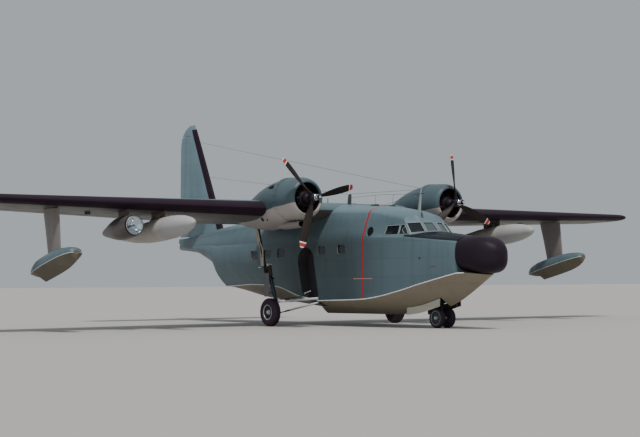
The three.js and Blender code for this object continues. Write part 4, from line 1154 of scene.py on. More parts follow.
def fin_face(c, n):
    lead = np.interp(c[2], [row[0] for row in FIN_ROWS], [row[1] for row in FIN_ROWS])
    return int(lead - c[0] < FIN_BOOT and c[2] < FIN_BOOT_TOP)


painted(fin, fin_grey_painted_light, boot_black, choose=fin_face)
painted(rudder, fin_grey_painted_light)
dressed(fin, "airframe", "fin")
dressed(rudder, "rudder", "rudder")
print("fin and rudder")

# %% Tailplane and elevators
tailplane = loft("tailplane_skin_left",
    [tail_ring(*row) for row in reversed(smooth_rows(TAIL_ROWS, 500))])
hinges = [((ELEVATOR.x, y, ELEVATOR.z), radius)
    for y, radius in ((ELEVATOR.start, 98), (2500, 80), (ELEVATOR.end, 61))]
elevator = split(tailplane, "elevator_skin_left", hinges, lambda y0, y1, lip: block(
    "slab", (AFT, ELEVATOR.x), (y0, y1), ELEVATOR.span), (ELEVATOR.start, ELEVATOR.end))
carve(tailplane, "DIFFERENCE", block("rudder_room", (AFT, ELEVATOR.x - ELEVATOR.gap),
    (0, ELEVATOR.start), ELEVATOR.span))


def tail_face(c, n):
    lead = np.interp(abs(c[1]), [row[0] for row in TAIL_ROWS], [row[1] for row in TAIL_ROWS])
    if lead - c[0] < TAIL_BOOT and abs(c[1]) < TAIL_BOOT_END:
        return 2
    return 0 if n.z > 0 else 1


for piece, body, chooser in ((tailplane, "airframe", tail_face),
        (elevator, "elevator", lambda c, n: int(n.z < 0))):
    painted(piece, wing_top, underside_rose_and_shade, boot_black, choose=chooser)
    twin = copied(piece, piece.name.replace("left", "right"), mirror=True)
    for each, (_, label) in zip((piece, twin), SIDES):
        node_name = each.name.split("_")[0] + "_" + label
        dressed(each, body if body == "airframe" else f"{body}_{label}", node_name)
print("tailplane and elevators")

# %% [markdown]
# Aerials stand on the roof: a tall mast that holds the wires, and four blades. Each is a foil-
# shaped plate, so it is a loft of foil sections that shrink towards the top. The wires run from the
# mast's top to the fin.

# %% Aerials
SMALL_COAT = dict(sheet=(9, 9), fade=0.05, streaks=0.05, seam=0.0)
aerial_grey = paint("aerial_grey", (0.06, 0.07, 0.075), rough=0.5, **SMALL_COAT)


def blade(name, foot, top, chord, thickness, taper=0.55):
    """An upright foil from foot to top, both (x, z) at mid chord"""
    rows = []
    for share, size in ((0, 1), (0.5, lerp(1, taper, 0.5)), (0.9, taper), (1, taper * 0.7)):
        x, z = lerp(foot[0], top[0], share), lerp(foot[1], top[1], share)
        rows.append(foil_ring(chord * size, thickness, 0, lambda along, across, x=x, z=z,
            size=size: (x + chord * size / 2 - along, across, z)))
    return loft(name, rows)


MAST = Sizes(foot=(1640, 3680), top=(1752, 4490), bar=[(1440, 0, 4306), (1925, 0, 4306)],
    bar_radius=15)
LUG = Sizes(foot=(2150, 3520), top=(2130, 3690), chord=95, aside=-0.3)
WIRE_RADIUS = 5
AERIALS = [(-2100, 4120, -2060, 4500, 240, 0.12, 0.8), (-3360, 4150, -3350, 4440, 45, 0.9, 0.7),
    (-665, 3960, -680, 4085, 560, 0.06, 0.8), (250, 3900, 235, 4010, 460, 0.06, 0.8)]
mast_metal = paint("mast_grey", (0.30, 0.34, 0.33), rough=0.45, **SMALL_COAT)
mast = painted(blade("mast", MAST.foot, MAST.top, 160, 0.34, 0.42), mast_metal)
dressed(mast, "airframe", "antenna_mast")
blades = [blade("aerial", row[:2], row[2:4], *row[4:]) for row in AERIALS]
lug = blade("lug", LUG.foot, LUG.top, LUG.chord, 0.5, 0.7)
lug.data.transform(Matrix.Translation((0, LUG.aside, 0)))
mast_bar = tube("mast_bar", MAST.bar, MAST.bar_radius, 8)
painted(joined("roof_aerials", *blades, lug, mast_bar), aerial_grey)
dressed(bpy.data.objects["roof_aerials"], "airframe")
print("mast and", len(blades), "blades")

# %% Wires
WIRES = [[(-12424, 7206), (1740, 4470)], [(-11502, 5708), (-2070, 4490)],
    [(-2040, 4500), (1735, 4440)], [(-2050, 4370), (-300, 4385), (1700, 4300)],
    [(-620, 4380), (-640, 4060)], [(330, 4350), (250, 3990)], [(1500, 4320), (-280, 3990)]]
wires = [tube("wire", [(x, 0, z) for x, z in path], WIRE_RADIUS, 6) for path in WIRES]
painted(joined("aerial_wires", *wires), aerial_grey)
dressed(bpy.data.objects["aerial_wires"], "airframe")
print(len(WIRES), "wires")

# %% [markdown]
# Cylinders, bolts, cowl flaps, wheel holes and dials repeat, so Geometry Nodes place them in rings
# and rows. It copies the piece's own mesh, and each copy is moved by a step and turned about a
# centre.

# %% A tree that repeats a piece
def tree_socket(tree, name, kind, value=None):
    made = tree.interface.new_socket(name=name, in_out="INPUT", socket_type=kind)
    if value is not None:
        made.default_value = value
    return made


def new_tree(name):
    """A Geometry Nodes tree, its input and output, and a function that adds linked nodes"""
    tree = bpy.data.node_groups.new(name, "GeometryNodeTree")
    tree_socket(tree, "Geometry", "NodeSocketGeometry")
    tree.interface.new_socket(name="Geometry", in_out="OUTPUT", socket_type="NodeSocketGeometry")

    def add(kind, settings=None, **inputs):
        made = tree.nodes.new(kind)
        for key, value in (settings or {}).items():
            setattr(made, key, value)
        for key, value in inputs.items():
            by_number = key[0] == "i" and key[1:].isdigit()
            socket = made.inputs[int(key[1:]) if by_number else key.replace("_", " ")]
            if isinstance(value, bpy.types.NodeSocket):
                tree.links.new(value, socket)
            else:
                socket.default_value = value
        return made.outputs
    return tree, add


def finish_tree(add, geometry, coat):
    solid = add("GeometryNodeRealizeInstances", Geometry=geometry)
    solid = add("GeometryNodeSetMaterial", Geometry=solid[0], Material=coat)
    add("NodeGroupOutput", Geometry=solid[0])


print("tree helpers")


# %% The tree itself
def make_repeat_tree():
    tree, add = new_tree("repeat_piece")
    for name, kind, value in (("Count", "NodeSocketInt", 2), ("Centre", "NodeSocketVector", None),
            ("Step", "NodeSocketVector", None), ("Turn", "NodeSocketVector", None),
            ("First", "NodeSocketVector", None), ("Material", "NodeSocketMaterial", None)):
        tree_socket(tree, name, kind, value)
    given = add("NodeGroupInput")
    index = add("GeometryNodeInputIndex")
    moved = add("ShaderNodeVectorMath", {"operation": "MULTIPLY_ADD"}, i0=given["Step"],
        i1=index[0], i2=given["Centre"])
    turned = add("ShaderNodeVectorMath", {"operation": "MULTIPLY_ADD"}, i0=given["Turn"],
        i1=index[0], i2=given["First"])
    back = add("ShaderNodeVectorMath", {"operation": "SCALE"}, i0=given["Centre"], Scale=-1.0)
    unit = add("GeometryNodeTransform", Geometry=given["Geometry"], Translation=back[0])
    spots = add("GeometryNodePoints", Count=given["Count"], Position=moved[0])
    copies = add("GeometryNodeInstanceOnPoints", Points=spots[0], Instance=unit[0],
        Rotation=turned[0])
    finish_tree(add, copies[0], given["Material"])
    return tree


def grown(piece, tree, **inputs):
    """Runs a tree on the piece, with inputs by identifier, and keeps the result as a mesh"""
    run = piece.modifiers.new(tree.name, "NODES")
    run.node_group = tree
    names = {item.name: item.identifier for item in tree.interface.items_tree
        if item.in_out == "INPUT"}
    for name, value in inputs.items():
        run[names[name]] = value
    return baked(piece)


repeat_tree = make_repeat_tree()
NO_TURN = (0.0, 0.0, 0.0)


def repeated(piece, coat, count, centre=(-FORWARD, 0, 0), step=(0, 0, 0), turn=NO_TURN,
        first=NO_TURN):
    """Copies of a piece: centre and step in drawing millimetres, turns in radians"""
    return grown(piece, repeat_tree, Count=count, Centre=metres(centre),
        Step=[v / 1000 for v in step], Turn=[float(v) for v in turn],
        First=[float(v) for v in first], Material=coat)


def ring_of(piece, coat, count, axis, centre, first=0.0):
    """Copies all round an axis through the centre"""
    place = "xyz".index(axis)
    turn, start = list(NO_TURN), list(NO_TURN)
    turn[place], start[place] = math.tau / count, first
    return repeated(piece, coat, count, centre, turn=turn, first=start)


print("tree:", repeat_tree.name, "with", len(repeat_tree.nodes), "nodes")

# %% [markdown]
# Metal parts need other finishes than sheet paint: bright steel, chromed rods, grey enamel on
# castings and brown, heat-stained pipes. Castings and black enamel that sit inside the cowl, the
# wells, the bay and the lamp are made near black, as painted shade. One function mixes stains,
# uneven gloss and a fine grain into each.

# %% Metal and rubber
GRIT = Sizes(specular=0.25, stain_size=7.0, detail=6.0, dark=0.35, gloss_size=16.0, gloss=0.3,
    gloss_drop=0.15, grain_size=70.0, depth=0.0008, strength=0.35)


def metal(name, colour, rough=0.35, shine=0.9, stain=0.5, grain=(1, 1, 1)):
    coat, shader = plain_material(name, colour, rough, shine)
    shader.inputs["Specular IOR Level"].default_value = GRIT.specular
    worn = number(coat, "MULTIPLY", noise(coat, GRIT.stain_size, grain, GRIT.detail), stain)
    link(coat, mix(coat, worn, colour, shaded(colour, GRIT.dark)), shader.inputs["Base Color"])
    gloss = number(coat, "MULTIPLY_ADD", noise(coat, GRIT.gloss_size, grain), GRIT.gloss,
        rough - GRIT.gloss_drop)
    link(coat, gloss, shader.inputs["Roughness"])
    relief(coat, shader, noise(coat, GRIT.grain_size, grain), GRIT.depth, GRIT.strength)
    return coat


steel = metal("bright_steel", (0.60, 0.61, 0.62), 0.3)
chrome = metal("chromed_rod", (0.86, 0.87, 0.88), 0.16, 1.0, 0.1)
gear_enamel = metal("gear_enamel", (0.30, 0.345, 0.37), 0.4, 0.15, 0.7)
# Painted shade: castings in the cowl, the nose bay, the hull's slot and the lamp, and the hub before
# the cowl's mouth, are near-black purple for the shade they stand in
casting_grey = metal("casting_grey", (0.026, 0.019, 0.028), 0.5, 0.3)
# Black enamel on real black parts. The same black paints shade inside the cowl, the scoop and the
# vents, under the outlet's hood and inside the lamp's rim
black_enamel_and_painted_shade = metal("engine_enamel", (0.014, 0.009, 0.016), 0.5, 0.2)
# Painted shade: the cylinders' fins are near black for the shade inside the cowl
fin_metal_painted_shade = metal("cylinder_fins", (0.05, 0.038, 0.045), 0.5, 0.5)
burnt_pipe = metal("burnt_pipe", (0.16, 0.10, 0.075), 0.55, 0.8)
tyre_rubber = metal("tyre_rubber", (0.044, 0.024, 0.043), 0.75, 0.0, 0.4)
hose_black = metal("hose_black", (0.02, 0.02, 0.022), 0.55, 0.0, 0.3)
print("metal and rubber")

# %% [markdown]
# The engine housings are round at the front and flatten out over the wing. They are grey above a
# wavy line and pinkish sand below it, and the sand is painted darker towards the bottom as shade.
# The fairing is a loft of oval sections, and the cowl a turned ring.

# %% Nacelles
ENGINE = Sizes(y=3030, z=4180)
NACELLE_ROWS = [(-1180, 690, 4180, 690, 715), (-1700, 650, 4180, 645, 900),
    (-2140, 610, 4150, 590, 935), (-2600, 550, 4080, 520, 855), (-3200, 470, 3960, 370, 670),
    (-4000, 320, 3850, 250, 430), (-4700, 120, 3780, 130, 160)]
# PAINT_LINE.under, shade and dark: the sand is darkened towards the bottom as painted shade
PAINT_LINE = Sizes(x=station(-1.8), z=3.86, rise=0.11, wave=0.10, under=(3.75, 3.25), pale=1.4,
    shade=0.55, dark=0.25)


def nacelle_marks(coat, tone):
    x, _, z = axes_of(coat)
    line = PAINT_LINE
    edge_z = number(coat, "MULTIPLY_ADD", x, line.rise, line.z - line.rise * line.x - line.wave / 2)
    edge_z = number(coat, "MULTIPLY_ADD", noise(coat, 1.7, (1, 0.1, 0.1), 1.0), line.wave, edge_z)
    rose = mix(coat, noise(coat, 1.2), ROSE_GREY, shaded(ROSE_GREY, line.pale))
    # Painted shade: darker sand towards the bottom
    rose = mix(coat, number(coat, "MULTIPLY", ramp(coat, z, *line.under), line.shade), rose,
        shaded(ROSE_GREY, line.dark))
    return mix(coat, number(coat, "LESS_THAN", z, edge_z), tone, rose)


nacelle_paint = paint("nacelle_two_tone", shaded(SEA_GREY, 0.72), "top", (0.5, 4.0), streaks=0.0,
    marks=nacelle_marks)


def curved(points, steps=5):
    """A smooth curve through points, as a bent batten gives"""
    p = [np.array(q, float) for q in (points[0], *points, points[-1])]
    made = []
    for a, b, c, d in zip(p, p[1:], p[2:], p[3:]):
        for t in np.arange(steps) / steps:
            made.append(tuple(0.5 * (2 * b + (c - a) * t + (2 * a - 5 * b + 4 * c - d) * t * t
                + (3 * b - a - 3 * c + d) * t ** 3)))
    return made + [tuple(p[-1])]


def oval_ring(x, half, z, up, down, sides=64):
    return [(x, ENGINE.y + half * math.cos(a), z + math.sin(a) * (up if math.sin(a) > 0 else down))
        for a in turns(sides)]


def both_sides(piece, name, body, node_name, crease=28):
    """Dresses a finished port piece and its starboard twin"""
    twin = copied(piece, name + "_right", mirror=True)
    piece.name = name + "_left"
    for each, (_, label) in zip((piece, twin), SIDES):
        dressed(each, body.replace("*", label), *([node_name + "_" + label] if node_name else []),
            crease=crease)
    return piece, twin


print("nacelle paint and curves")

# %% Fairing and cowl
fairing = loft("fairing", [oval_ring(*row) for row in smooth_rows(NACELLE_ROWS, 140)])
painted(fairing, nacelle_paint)
both_sides(fairing, "nacelle_skin", "airframe", "nacelle")

COWL_ROWS = [(705, -1165), (704, -900), (690, -640), (672, -500), (640, -390), (598, -318),
    (552, -282), (520, -280), (503, -300), (500, -345), (508, -420), (552, -560), (604, -700),
    (628, -900), (636, -1165)]
COWL_LIP = -345
cowl = lathe("cowl", [*curved(COWL_ROWS), COWL_ROWS[0]], "x", (0, ENGINE.y, ENGINE.z), 96)
# Painted shade: the cowl's inward-facing faces behind its lip are black, for the shade inside the
# mouth
painted(cowl, nacelle_paint, black_enamel_and_painted_shade, choose=lambda c, n: int(
    (c[1] - ENGINE.y) * n.y + (c[2] - ENGINE.z) * n.z < 0 and c[0] < COWL_LIP))
both_sides(cowl, "cowl_skin", "airframe", "cowling")

print("fairing and cowl")

# %% Cowl flaps
FLAP = Sizes(count=22, share=0.93, thick=9, rows=((-1150, 707), (-1250, 708), (-1345, 714)))
half_flap = math.pi / FLAP.count * FLAP.share
cowl_flap = loft("cowl_flap", [
    [(x, ENGINE.y + r * math.sin(a), ENGINE.z + r * math.cos(a))
     for r, spread in ((inner, np.linspace(-1, 1, 5)), (inner + FLAP.thick, np.linspace(1, -1, 5)))
     for a in spread * half_flap] for x, inner in FLAP.rows])
ring_of(cowl_flap, nacelle_paint, FLAP.count, "x", (0, ENGINE.y, ENGINE.z), half_flap)
both_sides(cowl_flap, "cowl_flaps", "airframe", None)
print(FLAP.count, "cowl flaps")

# %% [markdown]
# The small pieces on a nacelle are an exhaust outlet under a hood on the upper outer side, an air
# scoop under the cowl, and two round vents low on the outer side.

# %% Nacelle fittings
OUTLET = [((-1290, 3520, 4600), 12), ((-1360, 3530, 4592), 52), ((-1480, 3535, 4586), 74),
    ((-1640, 3528, 4580), 66), ((-1800, 3512, 4572), 38), ((-1880, 3500, 4566), 10)]
outlet = tube("outlet", [place for place, _ in OUTLET], [radius for _, radius in OUTLET], 20)
# Painted shade: the outlet's faces that turn downwards, under the hood, are black
painted(outlet, burnt_pipe, black_enamel_and_painted_shade, choose=lambda c, n: int(n.z < 0.45))
hood = tube("hood", [(-1200, 3500, 4622), (-1380, 3500, 4640), (-1560, 3490, 4640),
    (-1700, 3478, 4620)], [20, 62, 70, 30], 20)
painted(hood, nacelle_paint)
SCOOP = Sizes(back=-900, mouth=-990, z=3352)
SCOOP_ROWS = [(-1900, 150, 3330, 80), (-1500, 210, 3340, 130), (-1100, 210, 3345, 120),
    (-750, 190, 3350, 115), (-640, 178, 3358, 108), (-600, 160, 3360, 95)]


def scoop_ring(x, half, z, rise, inset=0):
    return [(x, ENGINE.y + (half - inset) * math.cos(a), z + (rise - inset) * math.sin(a))
        for a in turns(32)]


scoop = loft("scoop", [scoop_ring(*row) for row in smooth_rows(SCOOP_ROWS, 110)])
carve(scoop, "DIFFERENCE", loft("scoop_mouth",
    [scoop_ring(-1000, 190, 3347, 100, 26), scoop_ring(-590, 160, 3360, 95, 12)]))
# Painted shade: the scoop's inner faces and its end wall are black, for the shade in its mouth
painted(scoop, nacelle_paint, black_enamel_and_painted_shade, choose=lambda c, n: int(
    n.x > 0.5 and c[0] < SCOOP.back
    or c[0] > SCOOP.mouth and (c[1] - ENGINE.y) * n.y + (c[2] - SCOOP.z) * n.z < 0))
VENT_OUT = Vector((0, 0.883, -0.47))
VENTS = [(-2225, 3498, 3564, 84), (-1943, 3488, 3536, 44)]
vents = []
for x, y, z, radius in VENTS:
    spot = Vector((x, y, z))
    vents.append(painted(tube("vent", [spot - VENT_OUT * 40, spot + VENT_OUT * 10], radius + 12,
        24), steel))
    # Painted shade: each vent's core is a black rod, for the shade in its opening
    vents.append(painted(tube("vent_core", [spot - VENT_OUT * 30, spot + VENT_OUT * 12], radius,
        24), black_enamel_and_painted_shade))
both_sides(joined("fittings", hood, outlet, scoop, *vents), "nacelle_fittings", "airframe", None)
print("outlet, hood, scoop and", len(VENTS), "vents")

# %% [markdown]
# A nine-cylinder radial engine fills the cowl. Each cylinder is a barrel with cooling fins and a
# head with two rocker boxes, with two pushrod tubes in front. It is made once, and the ring tree
# makes nine of it.

# %% Engines
FIN_PITCH, FIN_COUNT, CYLINDERS, CASE_BOLTS = 22, 11, 9, 18
barrel_profile = [(66, 220), (66, 270)]
for k in range(FIN_COUNT):
    foot = 270 + k * FIN_PITCH
    barrel_profile += [(90, foot), (90, foot + 9), (68, foot + 10), (68, foot + FIN_PITCH)]
barrel_profile += [(88, 515), (94, 530), (94, 556), (70, 574), (30, 580)]
at_engine = (-760, ENGINE.y, ENGINE.z)
barrel = lathe("barrel", barrel_profile, "z", at_engine, 20)
boxes = [lathe("rocker_box", curved([(1, -44), (24, -40), (38, -20), (38, 14), (26, 34), (1, 38)],
    2), "z", (-760, ENGINE.y + side * 62, ENGINE.z + 546), 12) for side in (1, -1)]
cylinder = ring_of(joined("cylinder", barrel, *boxes), fin_metal_painted_shade, CYLINDERS, "x", at_engine)
rods = [tube("pushrod", [(-470, ENGINE.y + side * 22, ENGINE.z + 190),
    (-700, ENGINE.y + side * 62, ENGINE.z + 528)], 11, 8) for side in (1, -1)]
lead = tube("lead", curved([(-430, ENGINE.y, ENGINE.z + 232), (-480, ENGINE.y + 60, ENGINE.z + 330),
    (-640, ENGINE.y + 88, ENGINE.z + 470), (-735, ENGINE.y + 70, ENGINE.z + 505)], 3), 8, 6)
pushrods = ring_of(joined("pushrods", *rods), casting_grey, CYLINDERS, "x", at_engine)
leads = ring_of(lead, burnt_pipe, CYLINDERS, "x", at_engine)
print(CYLINDERS, "cylinders with", FIN_COUNT, "fins each")

# %% Crankcase and harness
crankcase = lathe("crankcase", [(1, -186), (96, -188), (118, -205), (150, -250), (182, -330),
    (196, -400), (226, -420), (232, -470), (290, -500), (300, -560), (300, -640), (300, -1080),
    (610, -1085), (610, -1160), (1, -1160)], "x", (0, ENGINE.y, ENGINE.z), 48)
painted(crankcase, casting_grey, black_enamel_and_painted_shade, choose=lambda c, n: int(c[0] < -470))
bolt = lathe("case_bolt", [(1, -498), (11, -495), (12, -478), (1, -474)], "x",
    (0, ENGINE.y, ENGINE.z + 262), 6)
case_bolts = ring_of(bolt, casting_grey, CASE_BOLTS, "x", at_engine)
harness = tube("harness", [(-432, ENGINE.y + 236 * math.cos(a), ENGINE.z + 236 * math.sin(a))
    for a in turns(48)], 15, 10, closed=True)
painted(harness, casting_grey)
both_sides(joined("engine_parts", crankcase, cylinder, pushrods, leads, case_bolts, harness),
    "engine_parts", "airframe", "engine")
print("engines")

# %% [markdown]
# Three blades on each propeller widen to the middle and untwist towards the tip. The tips are
# banded white, red and white so that the turning disc can be seen. Both propellers turn the same
# way, so neither is a mirror.

# %% Propellers
DISC, BLADES, HUB_BOLTS = 1676, 3, 12
FIRST_TURNS = {"left": -0.11, "right": -0.77}
# Each row: radius, chord, thickness and twist in radians
BLADE_ROWS = [(140, 104, 104, 1.25), (230, 112, 100, 1.15), (330, 165, 80, 1.05),
    (450, 215, 62, 0.93), (600, 250, 50, 0.8), (800, 268, 40, 0.66), (1000, 275, 32, 0.55),
    (1200, 266, 26, 0.48), (1400, 245, 22, 0.42), (1480, 226, 19, 0.40), (1520, 214, 18, 0.39),
    (1600, 180, 15, 0.36), (1636, 150, 13, 0.35), (1664, 105, 10, 0.34), (DISC, 50, 6, 0.34)]
blade_black = metal("blade_black", (0.022, 0.014, 0.011), 0.55, 0.0, 0.5)
BAND_COAT = dict(lay="front", sheet=(3, 3), rough=0.4, streaks=0.0, seam=0.0)
blade_white = paint("blade_white", (0.72, 0.72, 0.72), fade=0.03, **BAND_COAT)
blade_red = paint("blade_red", (0.46, 0.03, 0.028), fade=0.05, **BAND_COAT)
BANDS = [(1480, 0), (1520, 1), (1636, 2), (DISC + 1, 1)]


def propeller_blade(y, turn):
    outward, sideways = np.array((0, math.sin(turn), math.cos(turn))), np.array((0, math.cos(turn),
        -math.sin(turn)))
    centre = np.array((0, y, ENGINE.z))
    rings = []
    for radius, chord, thick, twist in BLADE_ROWS:
        ring = []
        for angle in turns(24):
            along, across = math.cos(angle) * chord / 2, math.sin(angle) * thick / 2
            fore = across * math.cos(twist) - along * math.sin(twist)
            aside = along * math.cos(twist) + across * math.sin(twist)
            ring.append(tuple(centre + outward * radius + sideways * aside + np.array((fore, 0,
                0))))
        rings.append(ring)
    return loft("blade", rings)


def band_of(y):
    def choose(c, n):
        radius = math.hypot(c[1] - y, c[2] - ENGINE.z)
        return next(index for limit, index in BANDS if radius < limit)
    return choose


print(len(BLADE_ROWS), "rows on a blade")

# %% Build both propellers
for side, label in SIDES:
    y = side * ENGINE.y
    parts = []
    for k in range(BLADES):
        turn = FIRST_TURNS[label] + k * math.tau / BLADES
        parts.append(painted(propeller_blade(y, turn), blade_black, blade_white, blade_red,
            choose=band_of(y)))
        out = (0, math.sin(turn), math.cos(turn))
        clamp = tube("clamp", [(0, y + out[1] * r, ENGINE.z + out[2] * r)
            for r in (60, 118, 122, 178, 182, 236)], [86, 86, 78, 78, 70, 66], 24)
        parts.append(painted(clamp, black_enamel_and_painted_shade))
    hub = lathe("hub", [(1, -172), (106, -172), (128, -150), (140, -90), (142, 40), (122, 96),
        (96, 128), (96, 150)], "x", (0, y, ENGINE.z), 40)
    parts.append(painted(hub, casting_grey))
    dome = lathe("dome", [(96, 150), (100, 156), (100, 196), (92, 204), (92, 318), (88, 336)], "x",
        (0, y, ENGINE.z), 40)
    parts.append(painted(dome, chrome))
    cap = lathe("cap", [(86, 330), (80, 350), (66, 372), (44, 380)], "x", (0, y, ENGINE.z), 32)
    parts.append(painted(cap, black_enamel_and_painted_shade))
    tip = lathe("tip", [(44, 372), (44, 396), (36, 406), (22, 410), (1, 410)], "x",
        (0, y, ENGINE.z), 24)
    parts.append(painted(tip, chrome))
    screw = lathe("hub_bolt", [(1, 92), (9, 92), (9, 106), (1, 106)], "x", (0, y, ENGINE.z + 112),
        6)
    parts.append(ring_of(screw, steel, HUB_BOLTS, "x", (0, y, ENGINE.z)))
    dressed(joined(f"propeller_parts_{label}", *parts), f"propeller_{label}", f"propeller_{label}")
print("propellers")

# %% [markdown]
# The wing floats have a hard chine and a step, like the hull. The deck is grey and the bottom sand.
# A float is drawn level, and then tilted nose up to where it hangs.

# %% Floats
FLOAT = Sizes(x=-2840, y=10660, z=2065, nose_up=0.213, step=150, level=0.02, steep=0.985, side=30)
FLOAT_PARTS = [[(1500, -60, 110, 15, 90), (1440, -190, 200, 25, 170), (1250, -270, 300, 20, 240),
    (750, -350, 410, 0, 320), (0, -375, 440, -20, 345), (-740, -385, 410, -45, 320)],
    [(-750, -250, 400, -45, 320), (-1200, -140, 280, -30, 230), (-1500, -30, 60, -5, 70)]]
# The pylon's rose grey and the float's sand bottom are real colours, darkened to about half as
# painted shade
pylon_rose = paint("pylon_rose", shaded(ROSE_GREY, 0.55), "side", (1.0, 0.5), streaks=0.1)
float_bottom = paint("float_bottom", shaded(SAND_GREY, 0.5), "side", (0.6, 0.5), streaks=0.12)
float_deck = paint("float_deck", SEA_GREY, "side", (0.6, 0.5), streaks=0.1)


def float_ring(x, keel, chine, chine_z, deck):
    half = [(chine * t, lerp(keel, chine_z, t ** 1.15)) for t in (0.2, 0.4, 0.6, 0.8, 1.0)]
    half += [(chine * math.cos(a) ** 0.62, lerp(chine_z, deck, math.sin(a) ** 1.05))
        for a in np.radians(np.arange(12, 85, 12))]
    return [(x, 0, keel), *((x, y, z) for y, z in half), (x, 0, deck),
        *((x, -y, z) for y, z in reversed(half))]


def tilted(piece, centre, angle):
    """Turned nose up about a point, in its mesh"""
    about = Vector(metres(centre))
    piece.data.transform(Matrix.Translation(about) @ Matrix.Rotation(-angle, 4,
        "Y") @ Matrix.Translation(-about))
    return piece


def float_face(c, n):
    return int(n.z < FLOAT.level and abs(n.y) < FLOAT.steep and c[2] < FLOAT.z + FLOAT.side)


float_rows = [row for part in FLOAT_PARTS for row in smooth_rows(part, FLOAT.step)]
boat = loft("float", [[(x + FLOAT.x, y + FLOAT.y, z + FLOAT.z) for x, y, z in float_ring(*row)]
    for row in float_rows])
painted(boat, float_deck, float_bottom, choose=float_face)
float_chine = []
for side in (1, -1):
    path = [(row[0] + FLOAT.x, FLOAT.y + side * (row[2] - RAIL_SINK), row[3] + FLOAT.z)
        for row in float_rows]
    float_chine.append(tube("chine", path, 7, 8))
    painted(float_chine[-1], chine_white)
hull_of_float = tilted(joined("float_skin", boat, *float_chine), (FLOAT.x, FLOAT.y, FLOAT.z),
    FLOAT.nose_up)
both_sides(hull_of_float, "float_skin", "airframe", "float")


def strut_skin(name, rows, y, coat, sides=48):
    """A strut of lens section: rows of height, front x, rear x, half thickness"""
    strut = loft(name, [[((front + rear) / 2 + math.cos(a) * (front - rear) / 2,
        y + math.sin(a) * half, z) for a in turns(sides)] for z, front, rear, half in rows])
    return painted(strut, coat)


pylon = strut_skin("float_pylon", [(2300, -2450, -3300, 80), (3150, -2525, -3510, 82),
    (3780, -2590, -3690, 85)], FLOAT.y, pylon_rose)
both_sides(pylon, "pylon_skin", "airframe", "float_pylon")
print("floats")

# %% [markdown]
# Under each wing hangs a fuel tank, a spindle with a blunt nose, and under the starboard wing a
# searchlight as well. The tank has a filler cap, a seam ring and two sway braces beside its pylon.

# %% Tanks
TANK = Sizes(nose=-455, length=4945, z=3330, y=7160, nose_up=0.08, band=0.33, band_depth=0.75)
TANK_PROFILE = [(0, 1), (0.004, 45), (0.012, 92), (0.03, 145), (0.05, 190), (0.09, 245),
    (0.13, 292), (0.2, 334), (0.26, 354), (0.34, 364), (0.42, 365), (0.5, 357), (0.58, 339),
    (0.66, 300), (0.75, 248), (0.82, 186), (0.9, 117), (0.96, 48), (1, 1)]


# Painted highlight: the front third of the tank is paler, for the light catching its nose
NOSE_HIGHLIGHT_GREY = (0.37, 0.38, 0.39)


def tank_nose_highlight(coat, tone):
    x, _, _ = axes_of(coat)
    nose = number(coat, "GREATER_THAN", x, (TANK.nose - TANK.band * TANK.length + FORWARD) / 1000)
    return mix(coat, number(coat, "MULTIPLY", nose, TANK.band_depth), tone, NOSE_HIGHLIGHT_GREY)


tank_paint = paint("tank_paint", (0.42, 0.39, 0.355), "side", (1.1, 1.4), rough=0.38,
    marks=tank_nose_highlight)
body = lathe("tank", [(r, TANK.nose - share * TANK.length) for share, r in TANK_PROFILE], "x",
    (0, TANK.y, TANK.z), 64)
painted(body, tank_paint)
seams = [painted(lathe("seam", [(r - 4, x - 14), (r + 3, x - 14), (r + 3, x + 14), (r - 4, x + 14),
    (r - 4, x - 14)], "x", (0, TANK.y, TANK.z), 64), tank_paint)
    for share, r in ((0.26, 354), (0.58, 339)) for x in (TANK.nose - share * TANK.length,)]
cap = painted(lathe("filler", [(1, 372), (48, 370), (52, 360), (52, 330), (1, 330)], "z",
    (TANK.nose - 0.36 * TANK.length, TANK.y, TANK.z), 20), steel)
tilted(joined("tank_skin", body, *seams, cap), (TANK.nose, TANK.y, TANK.z), TANK.nose_up)
tank_pylon = strut_skin("tank_pylon",
    [(3300, -2250, -3150, 55), (3560, -2250, -3150, 55), (3830, -2250, -3150, 57)], TANK.y,
    metal("pylon_brown", (0.155, 0.115, 0.095), 0.5, 0.1, 0.5))
braces = [painted(tube("sway_brace",
    [(x, TANK.y + side * 40, z + 130), (x, TANK.y + side * 140, z - 6),
    (x, TANK.y + side * 185, z - 34)], 20, 10), steel) for x, z in ((-2480, 3516), (-2920, 3478))
    for side in (1, -1)]
both_sides(joined("tank_skin", bpy.data.objects["tank_skin"], tank_pylon, *braces), "tank_skin",
    "airframe", "drop_tank")
print("tanks")

# %% [markdown]
# The searchlight's pod is a dark tapering body with a bright rim. Behind the clear lens lies a deep
# chromed bowl, so light that enters comes back along the beam, and the lamp stands on a stalk at
# its focus.

# %% Searchlight
LAMP = Sizes(x=-1990, y=-8400, z=3266, nose_up=0.096)
pod_metal = metal("pod_metal", (0.175, 0.155, 0.15), 0.4, 0.5, 0.5)
POD_PROFILE = [(1, -2090), (60, -2050), (112, -1940), (190, -1650), (270, -1350), (330, -1085),
    (358, -930), (370, -760), (369, -560), (360, -360), (345, -180), (326, -50), (315, 0), (285, 0),
    (284, -190), (1, -190)]


def lamp_part(name, profile, coat):
    """A turned part of the lamp, tilted with it: radius and distance ahead of the lens's rim"""
    part = lathe(name, [(r, LAMP.x + x) for r, x in profile], "x", (0, LAMP.y, LAMP.z), 64)
    return tilted(painted(part, coat), (LAMP.x, LAMP.y, LAMP.z), LAMP.nose_up)


pod = lamp_part("pod", POD_PROFILE, pod_metal)
